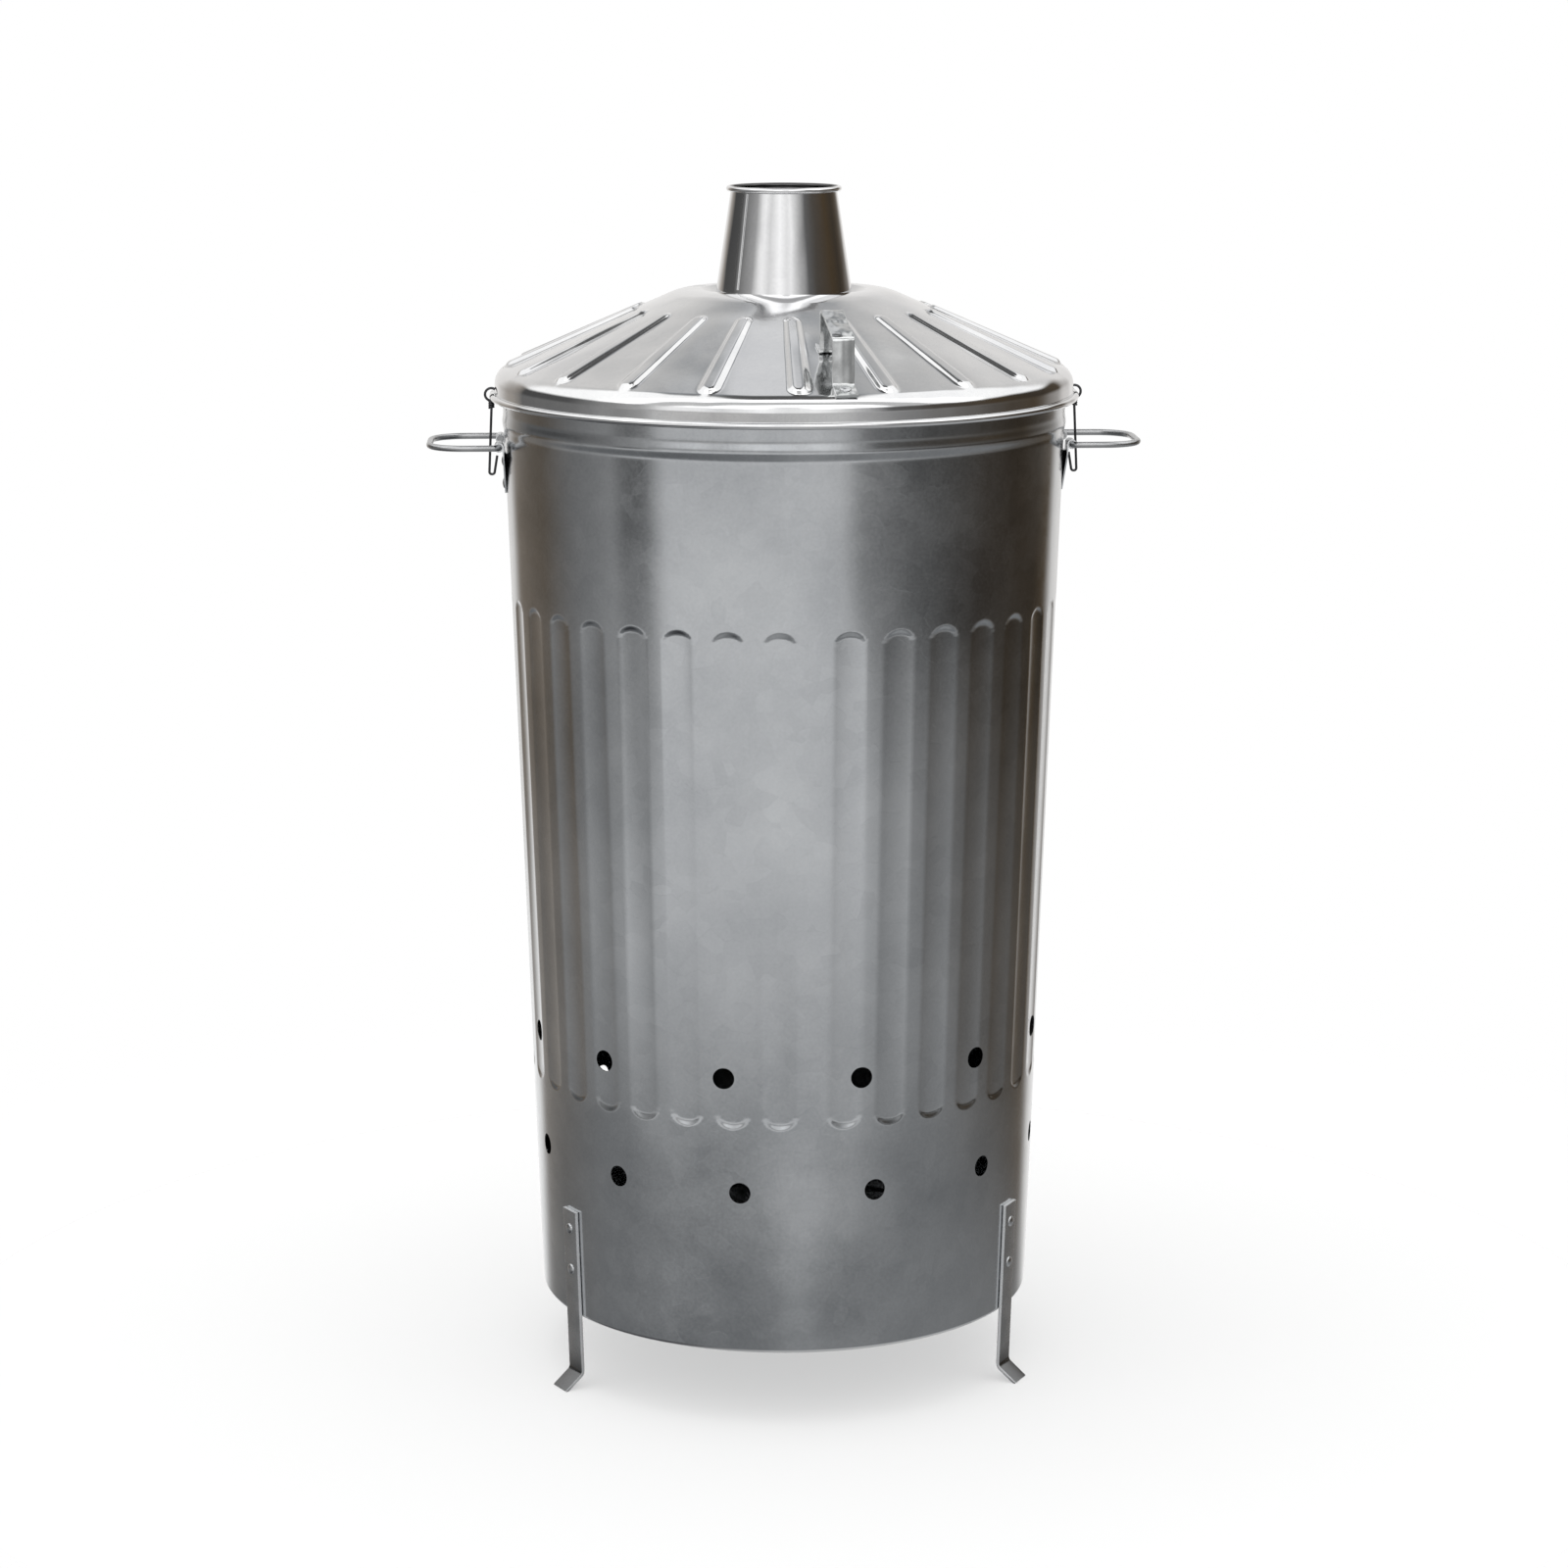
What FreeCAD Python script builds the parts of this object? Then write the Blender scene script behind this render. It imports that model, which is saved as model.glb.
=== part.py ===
import FreeCAD, Part
import math
import os

import Sketcher

# Garden incinerator: a tapered galvanised bin on three legs, with a ribbed lid and a chimney.
# Ground is z = 0 and the bin's axis is the Z axis. The front faces -Y. An azimuth of 0 is the
# front, and 90 is the right-hand side, +X. Heights named for the body count from its bottom edge.

V = FreeCAD.Vector

# Driving sizes, in millimetres, degrees and counts
SIZES = {
    # Sheet, fits and rivets
    "wall": 0.8,
    "seat_gap": 0.05,
    "rivet_shank": 4.0,
    "rivet_head": 9.0,
    "rivet_dome": 1.9,
    "rivet_tail": 1.2,
    "rivet_clearance": 0.15,
    # Body
    "leg_clearance": 60.0,
    "body_height": 757.0,
    "base_radius": 201.0,
    "rim_radius": 225.8,
    "edge_bend": 3.0,
    "lip_width": 11.0,
    "hem_height": 8.0,
    "hem_fold": 1.0,
    "swage_height": 717.0,
    "swage_width": 9.0,
    "swage_rise": 1.8,
    # Flutes, pressed inwards in two groups with a plain gap at the front and at the back
    "flute_bottom": 187.0,
    "flute_top": 578.0,
    "flute_width": 20.0,
    "flute_depth": 2.2,
    "flutes_per_half": 17,
    "flute_gap": 14.0,
    "flute_turn": 3.2,
    # Air holes
    "air_hole": 17.0,
    "holes_per_row": 12,
    "upper_row_height": 226.0,
    "upper_row_turn": 13.9,
    "lower_row_height": 133.0,
    "lower_row_turn": 17.3,
    # Base pan
    "pan_flange": 12.0,
    "pan_clearance": 0.3,
    "pan_corner": 3.0,
    "pan_holes": 8,
    "pan_hole": 17.0,
    "pan_hole_circle": 115.0,
    # Legs
    "leg_width": 20.0,
    "leg_thickness": 3.0,
    "leg_top": 90.0,
    "leg_foot": 20.0,
    "foot_slope": 38.0,
    "leg_bend": 6.0,
    "leg_rivet_low": 40.0,
    "leg_rivet_high": 74.5,
    # Handle ears
    "handle_height": 700.0,
    "ear_thickness": 1.2,
    "ear_top_width": 78.0,
    "ear_bottom_width": 22.0,
    "ear_height": 40.0,
    "ear_shoulder": 9.0,
    "ear_notch": 7.0,
    "ear_corner": 5.0,
    "knuckle_length": 16.0,
    "ear_rivet_low": 33.0,
    "ear_rivet_high": 15.0,
    # Side handles
    "handle_wire": 5.0,
    "handle_reach": 55.5,
    "handle_width": 87.0,
    "handle_corner": 28.0,
    "elbow_clearance": 0.3,
    "handle_stub": 2.0,
    "pivot_clearance": 0.1,
    # Lid
    "lid_slope": 23.8,
    "lid_gap": 0.3,
    "skirt_radius": 231.2,
    "skirt_drop": 19.4,
    "shoulder_bend": 6.0,
    "crown_radius": 83.0,
    "crown_bend": 14.0,
    "crown_inner_radius": 66.0,
    "seat_outer_radius": 59.0,
    "seat_sink": 5.0,
    "seat_bend": 2.5,
    "bead_wire": 3.4,
    "bead_clearance": 0.1,
    # Lid ribs, pressed upwards
    "ribs": 20,
    "rib_inner_radius": 108.0,
    "rib_outer_radius": 224.0,
    "rib_width": 14.0,
    "rib_rise": 2.4,
    # Chimney
    "chimney_radius": 54.5,
    "chimney_mouth_radius": 42.3,
    "chimney_height": 86.0,
    "chimney_foot": 6.0,
    "chimney_neck_inset": 2.5,
    "chimney_flange": 5.0,
    "chimney_neck_clearance": 0.3,
    "mouth_roll": 2.2,
    "seam_width": 5.0,
    "seam_rise": 0.7,
    "seam_azimuth": -48.0,
    # Lid handle
    "grip_azimuth": 9.0,
    "grip_width": 17.0,
    "grip_thickness": 2.0,
    "grip_inner_radius": 170.0,
    "grip_outer_radius": 213.0,
    "grip_rise": 35.0,
    "grip_foot": 15.0,
    "grip_rivet_clearance": 0.4,
    "grip_bend": 3.5,
    "grip_seat_gap": 0.2,
    # Lid clips
    "clip_wire": 2.0,
    "clip_eye": 5.0,
    "clip_eye_offset": 1.0,
    "clip_eye_lift": 0.5,
    "clip_slot": 4.0,
    "clip_drop": 64.0,
    "clip_lean": 2.5,
    "clip_bend": 1.9,
    "clip_twist": 6.0,
    "clip_twist_width": 4.2,
    "hook_width": 4.0,
    "hook_reach": 6.5,
    "hook_rise": 15.0,
}

LEGS = {"leg_front_left": -60, "leg_front_right": 60, "leg_rear": 180}
SIDES = {"left": -90, "right": 90}
DRILL_REACH = 30

doc = FreeCAD.newDocument("garden_incinerator")
sheet = doc.addObject("Spreadsheet::Sheet", "sizes")
for row, (alias, size) in enumerate(SIZES.items(), start=1):
    sheet.set(f"A{row}", alias)
    sheet.set(f"B{row}", str(size))
    sheet.setAlias(f"B{row}", alias)
doc.recompute()

# Sizes that follow from the driving ones, as expressions on the sheet
BOTTOM = "sizes.leg_clearance"
RIM = "(sizes.leg_clearance + sizes.body_height)"
TAPER = "((sizes.rim_radius - sizes.base_radius) / sizes.body_height)"
HEM_RADIUS = "(sizes.rim_radius + sizes.hem_fold)"
FLUTE_ARC = "((sizes.flute_width ^ 2 / 4 + sizes.flute_depth ^ 2) / (2 * sizes.flute_depth))"
FLUTE_SWEEP = "(180 - sizes.flute_gap)"
SWAGE_ARC = "((sizes.swage_width ^ 2 / 4 + sizes.swage_rise ^ 2) / (2 * sizes.swage_rise))"
RIB_ARC = "((sizes.rib_width ^ 2 / 4 + sizes.rib_rise ^ 2) / (2 * sizes.rib_rise))"
RIVET_HOLE = "(sizes.rivet_shank + 2 * sizes.rivet_clearance)"
KNUCKLE_BORE = "(sizes.handle_wire / 2 + sizes.pivot_clearance)"
KNUCKLE_RADIUS = f"({KNUCKLE_BORE} + sizes.ear_thickness)"
HANDLE_ELBOW = "((sizes.handle_width - sizes.ear_top_width) / 2 - sizes.elbow_clearance)"
SHEET_RISE = "(sizes.wall / cos(sizes.lid_slope))"
BEAD_RADIUS = "(sizes.bead_wire / 2 + sizes.bead_clearance + sizes.wall)"
BEAD_CENTRE = f"(sizes.skirt_radius - sizes.wall + {BEAD_RADIUS})"
BEAD_HEIGHT = f"({RIM} - sizes.skirt_drop)"
GRIP_FACE = "(sizes.grip_seat_gap + sizes.grip_thickness + sizes.seat_gap)"
EYE_CENTRE = f"({BEAD_CENTRE} + sizes.clip_eye_offset)"
EYE_HEIGHT = f"({BEAD_HEIGHT} + sizes.clip_eye_lift)"


def wall_radius(height):
    """Outer radius of the plain wall at a height above the body's bottom edge."""
    return f"(sizes.base_radius + {TAPER} * ({height}))"


def lid_top(radius):
    """Height of the lid's upper face on the cone: its lower face rests on the body's hem."""
    rest = f"{RIM} + sizes.lid_gap + {SHEET_RISE}"
    return f"({rest} + ({HEM_RADIUS} - ({radius})) * tan(sizes.lid_slope))"


CROWN = lid_top("sizes.crown_radius")
SEAT = f"({CROWN} - sizes.seat_sink)"
MOUTH = f"({SEAT} + sizes.chimney_height)"


def value(expression):
    """The number that an expression on the sheet gives."""
    result = sheet.evalExpression(str(expression))
    return float(getattr(result, "Value", result))


SLANT = math.degrees(math.atan(value(TAPER)))
LID_SLOPE = value("sizes.lid_slope")


# Drawing helpers

def new_body(label):
    body = doc.addObject("PartDesign::Body", label)
    body.Label = label
    return body


def origin_feature(body, role):
    return next(item for item in body.Origin.OriginFeatures if item.Role == role)


def sketch_on(body, name, role="XZ_Plane", offset=None):
    sketch = body.newObject("Sketcher::SketchObject", name)
    sketch.AttachmentSupport = [(origin_feature(body, role), "")]
    sketch.MapMode = "FlatFace"
    if offset is not None:
        sketch.AttachmentOffset = offset
    return sketch


def radial_sketch(body, name, azimuth, radius, height, tilt):
    """A sketch in the vertical plane at an azimuth, with its origin at a radius and a height.

    Its own V axis leans outwards from the vertical by the tilt."""
    turn = FreeCAD.Rotation(V(0, 1, 0), azimuth - 90)
    lean = FreeCAD.Rotation(V(0, 0, 1), -tilt)
    sketch = sketch_on(body, name, offset=FreeCAD.Placement(V(), turn.multiply(lean)))
    place = "AttachmentOffset.Base"
    sketch.setExpression(f".{place}.x", f"({radius}) * cos({azimuth - 90})")
    sketch.setExpression(f".{place}.y", height)
    sketch.setExpression(f".{place}.z", f"-({radius}) * sin({azimuth - 90})")
    return sketch


def constrain(sketch, kind, *terms, size=None):
    """Adds a constraint, bound to an expression where it has a size."""
    if size is None:
        return sketch.addConstraint(Sketcher.Constraint(kind, *terms))
    index = sketch.addConstraint(Sketcher.Constraint(kind, *terms, value(size)))
    sketch.setExpression(f"Constraints[{index}]", str(size))
    return index


def pin(sketch, item, spot, across, up):
    """Holds a point of the sketch at a place given by two expressions."""
    for kind, axis, size in (("DistanceX", -2, across), ("DistanceY", -1, up)):
        if str(size) == "0":
            constrain(sketch, "PointOnObject", item, spot, axis)
        else:
            constrain(sketch, kind, -1, 1, item, spot, size=size)


def rounding(before, corner, after, radius):
    """Centre and tangent points of an arc that rounds a corner."""
    back = (before - corner).normalize()
    ahead = (after - corner).normalize()
    half = back.getAngle(ahead) / 2
    reach = radius / math.tan(half)
    centre = corner + (back + ahead).normalize() * (radius / math.sin(half))
    return centre, corner + back * reach, corner + ahead * reach


def arc_between(centre, start, end):
    """An arc about a centre, and which of its ends lies at the start."""
    angles = [math.atan2((p - centre).y, (p - centre).x) for p in (start, end)]
    turns_left = (start - centre).cross(end - centre).z > 0
    first, last = angles if turns_left else reversed(angles)
    if last < first:
        last += 2 * math.pi
    circle = Part.Circle(centre, V(0, 0, 1), (start - centre).Length)
    return Part.ArcOfCircle(circle, first, last), (1, 2) if turns_left else (2, 1)


def draw(sketch, corners, closed=True):
    """Straight edges through corners (across, up, radius), rounded where there is a radius."""
    spots = [V(value(corner[0]), value(corner[1]), 0) for corner in corners]
    count = len(spots)
    enter, leave, arcs = list(spots), list(spots), {}
    for i, corner in enumerate(corners):
        if len(corner) == 3:
            around = spots[i - 1], spots[i], spots[(i + 1) % count]
            centre, enter[i], leave[i] = rounding(*around, value(corner[2]))
            arc, ends = arc_between(centre, enter[i], leave[i])
            arcs[i] = sketch.addGeometry(arc, False), ends
    lines = []
    for i in range(count if closed else count - 1):
        edge = Part.LineSegment(leave[i], enter[(i + 1) % count])
        lines.append(sketch.addGeometry(edge, False))
    for i, corner in enumerate(corners):
        point = sketch.addGeometry(Part.Point(spots[i]), True)
        pin(sketch, point, 1, corner[0], corner[1])
        touching = [(i - 1, 2), (i, 1)]
        if not closed:
            touching = [(edge, end) for edge, end in touching if 0 <= edge < len(lines)]
        for edge, end in touching:
            if i in arcs:
                constrain(sketch, "PointOnObject", point, 1, lines[edge])
                arc, ends = arcs[i]
                constrain(sketch, "Tangent", lines[edge], end, arc, ends[0] if end == 2 else ends[1])
            else:
                constrain(sketch, "Coincident", lines[edge], end, point, 1)
        if i in arcs:
            constrain(sketch, "Radius", arcs[i][0], size=corner[2])


def draw_circle(sketch, across, up, radius):
    circle = Part.Circle(V(value(across), value(up), 0), V(0, 0, 1), value(radius))
    item = sketch.addGeometry(circle, False)
    pin(sketch, item, 3, across, up)
    constrain(sketch, "Radius", item, size=radius)


def draw_half_capsule(sketch, half_length, radius):
    """Half of a round-ended bar about the sketch's V axis."""
    half, r = value(half_length), value(radius)
    quarter = math.pi / 2

    def quarter_arc(up, start):
        circle = Part.Circle(V(0, up, 0), V(0, 0, 1), r)
        return sketch.addGeometry(Part.ArcOfCircle(circle, start, start + quarter), False)

    top = quarter_arc(half, 0)
    bottom = quarter_arc(-half, -quarter)
    side = sketch.addGeometry(Part.LineSegment(V(r, -half, 0), V(r, half, 0)), False)
    axis = sketch.addGeometry(Part.LineSegment(V(0, -half - r, 0), V(0, half + r, 0)), False)
    pin(sketch, top, 3, "0", half_length)
    pin(sketch, bottom, 3, "0", f"-({half_length})")
    constrain(sketch, "Radius", top, size=radius)
    constrain(sketch, "Equal", top, bottom)
    constrain(sketch, "Tangent", side, 2, top, 1)
    constrain(sketch, "Tangent", side, 1, bottom, 2)
    constrain(sketch, "Coincident", axis, 2, top, 2)
    constrain(sketch, "Coincident", axis, 1, bottom, 1)
    constrain(sketch, "PointOnObject", top, 2, -2)
    constrain(sketch, "PointOnObject", bottom, 1, -2)


# Feature helpers

def turned(body, kind, sketch, angle=360):
    """A Revolution or a Groove of a sketch about its own V axis."""
    feature = body.newObject(f"PartDesign::{kind}", f"{sketch.Name}_{kind.lower()}")
    feature.Profile = sketch
    feature.ReferenceAxis = (sketch, ["V_Axis"])
    feature.Angle = angle
    return feature


def padded(body, sketch, length, symmetric=False):
    pad = body.newObject("PartDesign::Pad", f"{sketch.Name}_pad")
    pad.Profile = sketch
    pad.Midplane = symmetric
    pad.setExpression("Length", length)
    return pad


def swept(body, profile, path):
    pipe = body.newObject("PartDesign::AdditivePipe", f"{path.Name}_pipe")
    pipe.Profile = profile
    pipe.Spine = path
    return pipe


def around(body, feature, count, sweep="360"):
    """Repeats a feature about the Z axis."""
    pattern = body.newObject("PartDesign::PolarPattern", f"{feature.Name}_pattern")
    pattern.Originals = [feature]
    pattern.Axis = (origin_feature(body, "Z_Axis"), [""])
    pattern.setExpression("Angle", sweep)
    pattern.setExpression("Occurrences", str(count))
    body.Tip = pattern
    return pattern


def capsule(body, kind, name, azimuth, radius, height, tilt, half_length, arc):
    """A round-ended bar, added or cut, whose axis lies in the plane at an azimuth."""
    sketch = radial_sketch(body, name, azimuth, radius, height, tilt)
    draw_half_capsule(sketch, half_length, arc)
    return turned(body, kind, sketch)


def drill(body, name, azimuth, radius, height, tilt, diameter):
    """A round hole through the sheet at a radius and a height, along a tilted axis."""
    sketch = radial_sketch(body, name, azimuth, radius, height, tilt)
    side = f"({diameter}) / 2"
    draw(sketch, [("0", -DRILL_REACH), (side, -DRILL_REACH), (side, DRILL_REACH), ("0", DRILL_REACH)])
    return turned(body, "Groove", sketch)


def wall_drill(body, name, azimuth, height, diameter):
    """A hole square to the body's wall."""
    level = f"{BOTTOM} + {height}"
    return drill(body, name, azimuth, wall_radius(height), level, 90 + SLANT, diameter)


def turn_about_axis(item, azimuth):
    """Turns a piece that was drawn on the right-hand side to another azimuth."""
    item.Placement = FreeCAD.Placement(V(), FreeCAD.Rotation(V(0, 0, 1), azimuth - 90))


# Body

def press_flutes(body, name, arc):
    """Cuts the two groups of flutes out of a solid form, with bars of one arc radius."""
    middle = "((sizes.flute_bottom + sizes.flute_top) / 2)"
    stand_off = f"({FLUTE_ARC} - sizes.flute_depth)"
    half_length = "((sizes.flute_top - sizes.flute_bottom - sizes.flute_width) / 2)"
    first = value("sizes.flute_turn + sizes.flute_gap / 2")
    for half, start in (("right", first), ("left", first + 180)):
        bar = capsule(body, "Groove", f"{name}_{half}", start, f"{wall_radius(middle)} + {stand_off}",
                      f"{BOTTOM} + {middle}", SLANT, half_length, arc)
        around(body, bar, "sizes.flutes_per_half", FLUTE_SWEEP)


def swage_sketch(body, name, radius):
    sketch = sketch_on(body, name)
    centre = f"{wall_radius('sizes.swage_height')} + sizes.swage_rise - {SWAGE_ARC}"
    draw_circle(sketch, centre, f"{BOTTOM} + sizes.swage_height", radius)
    return sketch


def body_outside():
    """The body's outer form as a solid, with its flutes and every hole in its wall."""
    body = new_body("body_outside")
    form = sketch_on(body, "outer_form")
    draw(form, [
        ("0", BOTTOM),
        ("sizes.base_radius", BOTTOM, "sizes.edge_bend"),
        ("sizes.rim_radius", RIM),
        ("0", RIM),
    ])
    turned(body, "Revolution", form)
    turned(body, "Revolution", swage_sketch(body, "outer_swage", SWAGE_ARC))
    hem = sketch_on(body, "hem")
    fold = "sizes.hem_fold"
    draw(hem, [
        (f"sizes.rim_radius - {fold}", f"{RIM} - sizes.hem_height"),
        (HEM_RADIUS, f"{RIM} - sizes.hem_height"),
        (HEM_RADIUS, RIM, fold),
        (f"sizes.rim_radius - {fold}", RIM),
    ])
    turned(body, "Revolution", hem)
    press_flutes(body, "outer_flute", FLUTE_ARC)
    for row in ("upper", "lower"):
        turn = value(f"sizes.{row}_row_turn")
        hole = wall_drill(body, f"{row}_row", turn, f"sizes.{row}_row_height", "sizes.air_hole")
        around(body, hole, "sizes.holes_per_row")
    for level in ("low", "high"):
        hole = wall_drill(body, f"leg_hole_{level}", LEGS["leg_rear"], f"sizes.leg_rivet_{level}", RIVET_HOLE)
        around(body, hole, len(LEGS))
        height = f"(sizes.handle_height - sizes.ear_rivet_{level})"
        hole = wall_drill(body, f"ear_hole_{level}", SIDES["right"], height, RIVET_HOLE)
        around(body, hole, len(SIDES))
    return body


def body_inside():
    """The space that the wall encloses, with the backs of the flutes standing into it."""
    body = new_body("body_inside")
    form = sketch_on(body, "inner_form")
    lip = "(sizes.base_radius - sizes.lip_width)"
    floor = f"{BOTTOM} + sizes.wall"
    beyond = "sizes.lip_width"
    draw(form, [
        ("0", f"{BOTTOM} - {beyond}"),
        (lip, f"{BOTTOM} - {beyond}"),
        (lip, floor),
        (f"{wall_radius('sizes.wall')} - sizes.wall", floor, "sizes.edge_bend - sizes.wall"),
        (f"{wall_radius(f'sizes.body_height + {beyond}')} - sizes.wall", f"{RIM} + {beyond}"),
        ("0", f"{RIM} + {beyond}"),
    ])
    turned(body, "Revolution", form)
    turned(body, "Revolution", swage_sketch(body, "inner_swage", f"{SWAGE_ARC} - sizes.wall"))
    press_flutes(body, "inner_flute", f"{FLUTE_ARC} + sizes.wall")
    return body


def make_body_shell():
    outside, inside = body_outside(), body_inside()
    doc.recompute()
    shell = doc.addObject("Part::Cut", "body_shell")
    shell.Base = outside
    shell.Tool = inside
    return shell


def make_base_pan():
    """A dished floor whose flange stands on the body's turned-in lip."""
    pan = new_body("base_pan")
    form = sketch_on(pan, "pan_form")
    foot = f"{BOTTOM} + sizes.wall"
    top = f"{foot} + sizes.pan_flange"
    side = "(sizes.base_radius - sizes.edge_bend - sizes.pan_clearance)"
    bend = "sizes.pan_corner"
    draw(form, [
        ("0", f"{top} - sizes.wall"),
        (f"{side} - sizes.wall", f"{top} - sizes.wall", f"{bend} - sizes.wall"),
        (f"{side} - sizes.wall", foot),
        (side, foot),
        (side, top, bend),
        ("0", top),
    ])
    turned(pan, "Revolution", form)
    hole = drill(pan, "pan_hole", SIDES["right"], "sizes.pan_hole_circle", top, 0, "sizes.pan_hole")
    around(pan, hole, "sizes.pan_holes")
    return pan


# Legs

def make_leg(label, azimuth):
    """A flat strip down the wall, bent outwards at the foot and flat where it meets the ground."""
    leg = new_body(label)
    half = "sizes.leg_thickness / 2"
    off = f"sizes.seat_gap + {half}"
    top = f"{BOTTOM} + sizes.leg_top"
    bend_height = "sizes.leg_foot * sin(sizes.foot_slope)"
    start = f"{wall_radius('sizes.leg_top')} + {off}"
    bend = f"{wall_radius(f'{bend_height} - {BOTTOM}')} + {off}"
    path = sketch_on(leg, f"{label}_path")
    draw(path, [
        (start, top),
        (bend, bend_height, "sizes.leg_bend"),
        (f"{bend} + sizes.leg_foot * cos(sizes.foot_slope)", "0"),
    ], closed=False)
    section = sketch_on(leg, f"{label}_section", "XY_Plane")
    section.setExpression(".AttachmentOffset.Base.z", top)
    across = "sizes.leg_width / 2"
    draw(section, [
        (f"{start} - {half}", f"-{across}"),
        (f"{start} + {half}", f"-{across}"),
        (f"{start} + {half}", across),
        (f"{start} - {half}", across),
    ])
    swept(leg, section, path)
    ground = sketch_on(leg, f"{label}_ground", "XY_Plane")
    reach = "sizes.leg_foot + sizes.leg_thickness"
    draw(ground, [
        (bend, f"-({reach})"),
        (f"{bend} + {reach}", f"-({reach})"),
        (f"{bend} + {reach}", reach),
        (bend, reach),
    ])
    doc.recompute()
    flat = leg.newObject("PartDesign::Pocket", f"{label}_flat")
    flat.Profile = ground
    flat.setExpression("Length", "sizes.leg_thickness")
    for level in ("low", "high"):
        wall_drill(leg, f"{label}_{level}", SIDES["right"], f"sizes.leg_rivet_{level}", RIVET_HOLE)
    turn_about_axis(leg, azimuth)
    return leg


# Rivets

def rivet(grip):
    """A rivet along Z: a domed head above z = 0, a shank and a flat tail under the grip."""
    head, dome = value("sizes.rivet_head") / 2, value("sizes.rivet_dome")
    shank, tail = value("sizes.rivet_shank") / 2, value("sizes.rivet_tail")
    ball = (head ** 2 + dome ** 2) / (2 * dome)
    half_angle = math.asin(head / ball) / 2
    shoulder = V(ball * math.sin(half_angle), 0, dome - ball * (1 - math.cos(half_angle)))
    crown = Part.Arc(V(0, 0, dome), shoulder, V(head, 0, 0)).toShape()
    corners = [(head, 0), (shank, 0), (shank, -grip), (head, -grip), (head, -grip - tail),
               (0, -grip - tail), (0, dome)]
    rest = Part.makePolygon([V(x, 0, z) for x, z in corners])
    face = Part.Face(Part.Wire([crown] + rest.Edges))
    return face.revolve(V(), V(0, 0, 1), 360)


def group(label, solids):
    """Like pieces that share one node, each still a solid of its own."""
    node = doc.addObject("Part::Feature", label)
    node.Shape = Part.makeCompound(solids)
    return node


def set_on(solid, azimuth, radius, height, tilt):
    """Stands a solid on a surface, with its Z axis leaning outwards from the vertical."""
    lean = FreeCAD.Rotation(V(0, 1, 0), tilt)
    turn = FreeCAD.Rotation(V(0, 0, 1), azimuth - 90)
    placed = solid.copy()
    placed.Placement = FreeCAD.Placement(turn.multVec(V(radius, 0, height)), turn.multiply(lean))
    return placed


def wall_rivets(label, azimuths, heights, thickness):
    """Rivets through a flat piece on the wall, and through the wall."""
    gap = value("sizes.seat_gap")
    face = gap + value(thickness) + gap
    solid = rivet(face + value("sizes.wall") + 2 * gap)
    solids = []
    for azimuth in azimuths:
        for height in heights:
            radius = value(wall_radius(height)) + face * math.cos(math.radians(SLANT))
            level = value(f"{BOTTOM} + {height}") - face * math.sin(math.radians(SLANT))
            solids.append(set_on(solid, azimuth, radius, level, 90 + SLANT))
    return group(label, solids)


# Side handles

def ear_place(azimuth):
    """Where an ear's own frame stands: X square to the wall, Z up the wall, at the pivot's height."""
    turn = FreeCAD.Rotation(V(0, 0, 1), azimuth - 90)
    lean = FreeCAD.Rotation(V(0, 1, 0), SLANT)
    radius = value(f"{wall_radius('sizes.handle_height')} + sizes.seat_gap")
    base = turn.multVec(V(radius, 0, value(f"{BOTTOM} + sizes.handle_height")))
    return FreeCAD.Placement(base, turn.multiply(lean))


def make_ear(label, azimuth):
    """A tapered plate with two rolled knuckles at its upper corners."""
    ear = new_body(label)
    plate = sketch_on(ear, f"{label}_plate", "YZ_Plane")
    top, low = "sizes.ear_top_width / 2", "sizes.ear_bottom_width / 2"
    inner = f"({top} - sizes.knuckle_length)"
    bend = "sizes.ear_corner"
    right = [
        (inner, "-sizes.ear_notch", "sizes.ear_notch / 3"),
        (inner, "0"),
        (top, "0"),
        (top, "-sizes.ear_shoulder", bend),
        (low, "-sizes.ear_height", bend),
    ]
    left = [(f"-({across})", *rest) for across, *rest in reversed(right)]
    draw(plate, right + left)
    padded(ear, plate, "sizes.ear_thickness")
    roll = sketch_on(ear, f"{label}_roll")
    roll.setExpression(".AttachmentOffset.Base.z", f"-({top})")
    draw_circle(roll, KNUCKLE_RADIUS, "0", KNUCKLE_RADIUS)
    draw_circle(roll, KNUCKLE_RADIUS, "0", KNUCKLE_BORE)
    knuckle = padded(ear, roll, "sizes.knuckle_length")
    doc.recompute()
    pair = ear.newObject("PartDesign::Mirrored", f"{label}_pair")
    pair.Originals = [knuckle]
    pair.MirrorPlane = (origin_feature(ear, "XZ_Plane"), [""])
    ear.Tip = pair
    for level in ("low", "high"):
        hole = sketch_on(ear, f"{label}_{level}", "YZ_Plane")
        draw_circle(hole, "0", f"-sizes.ear_rivet_{level}", f"{RIVET_HOLE} / 2")
        doc.recompute()
        cut = ear.newObject("PartDesign::Pocket", f"{label}_{level}_hole")
        cut.Profile = hole
        cut.Midplane = True
        cut.Type = "ThroughAll"
    ear.Placement = ear_place(azimuth)
    return ear


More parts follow.
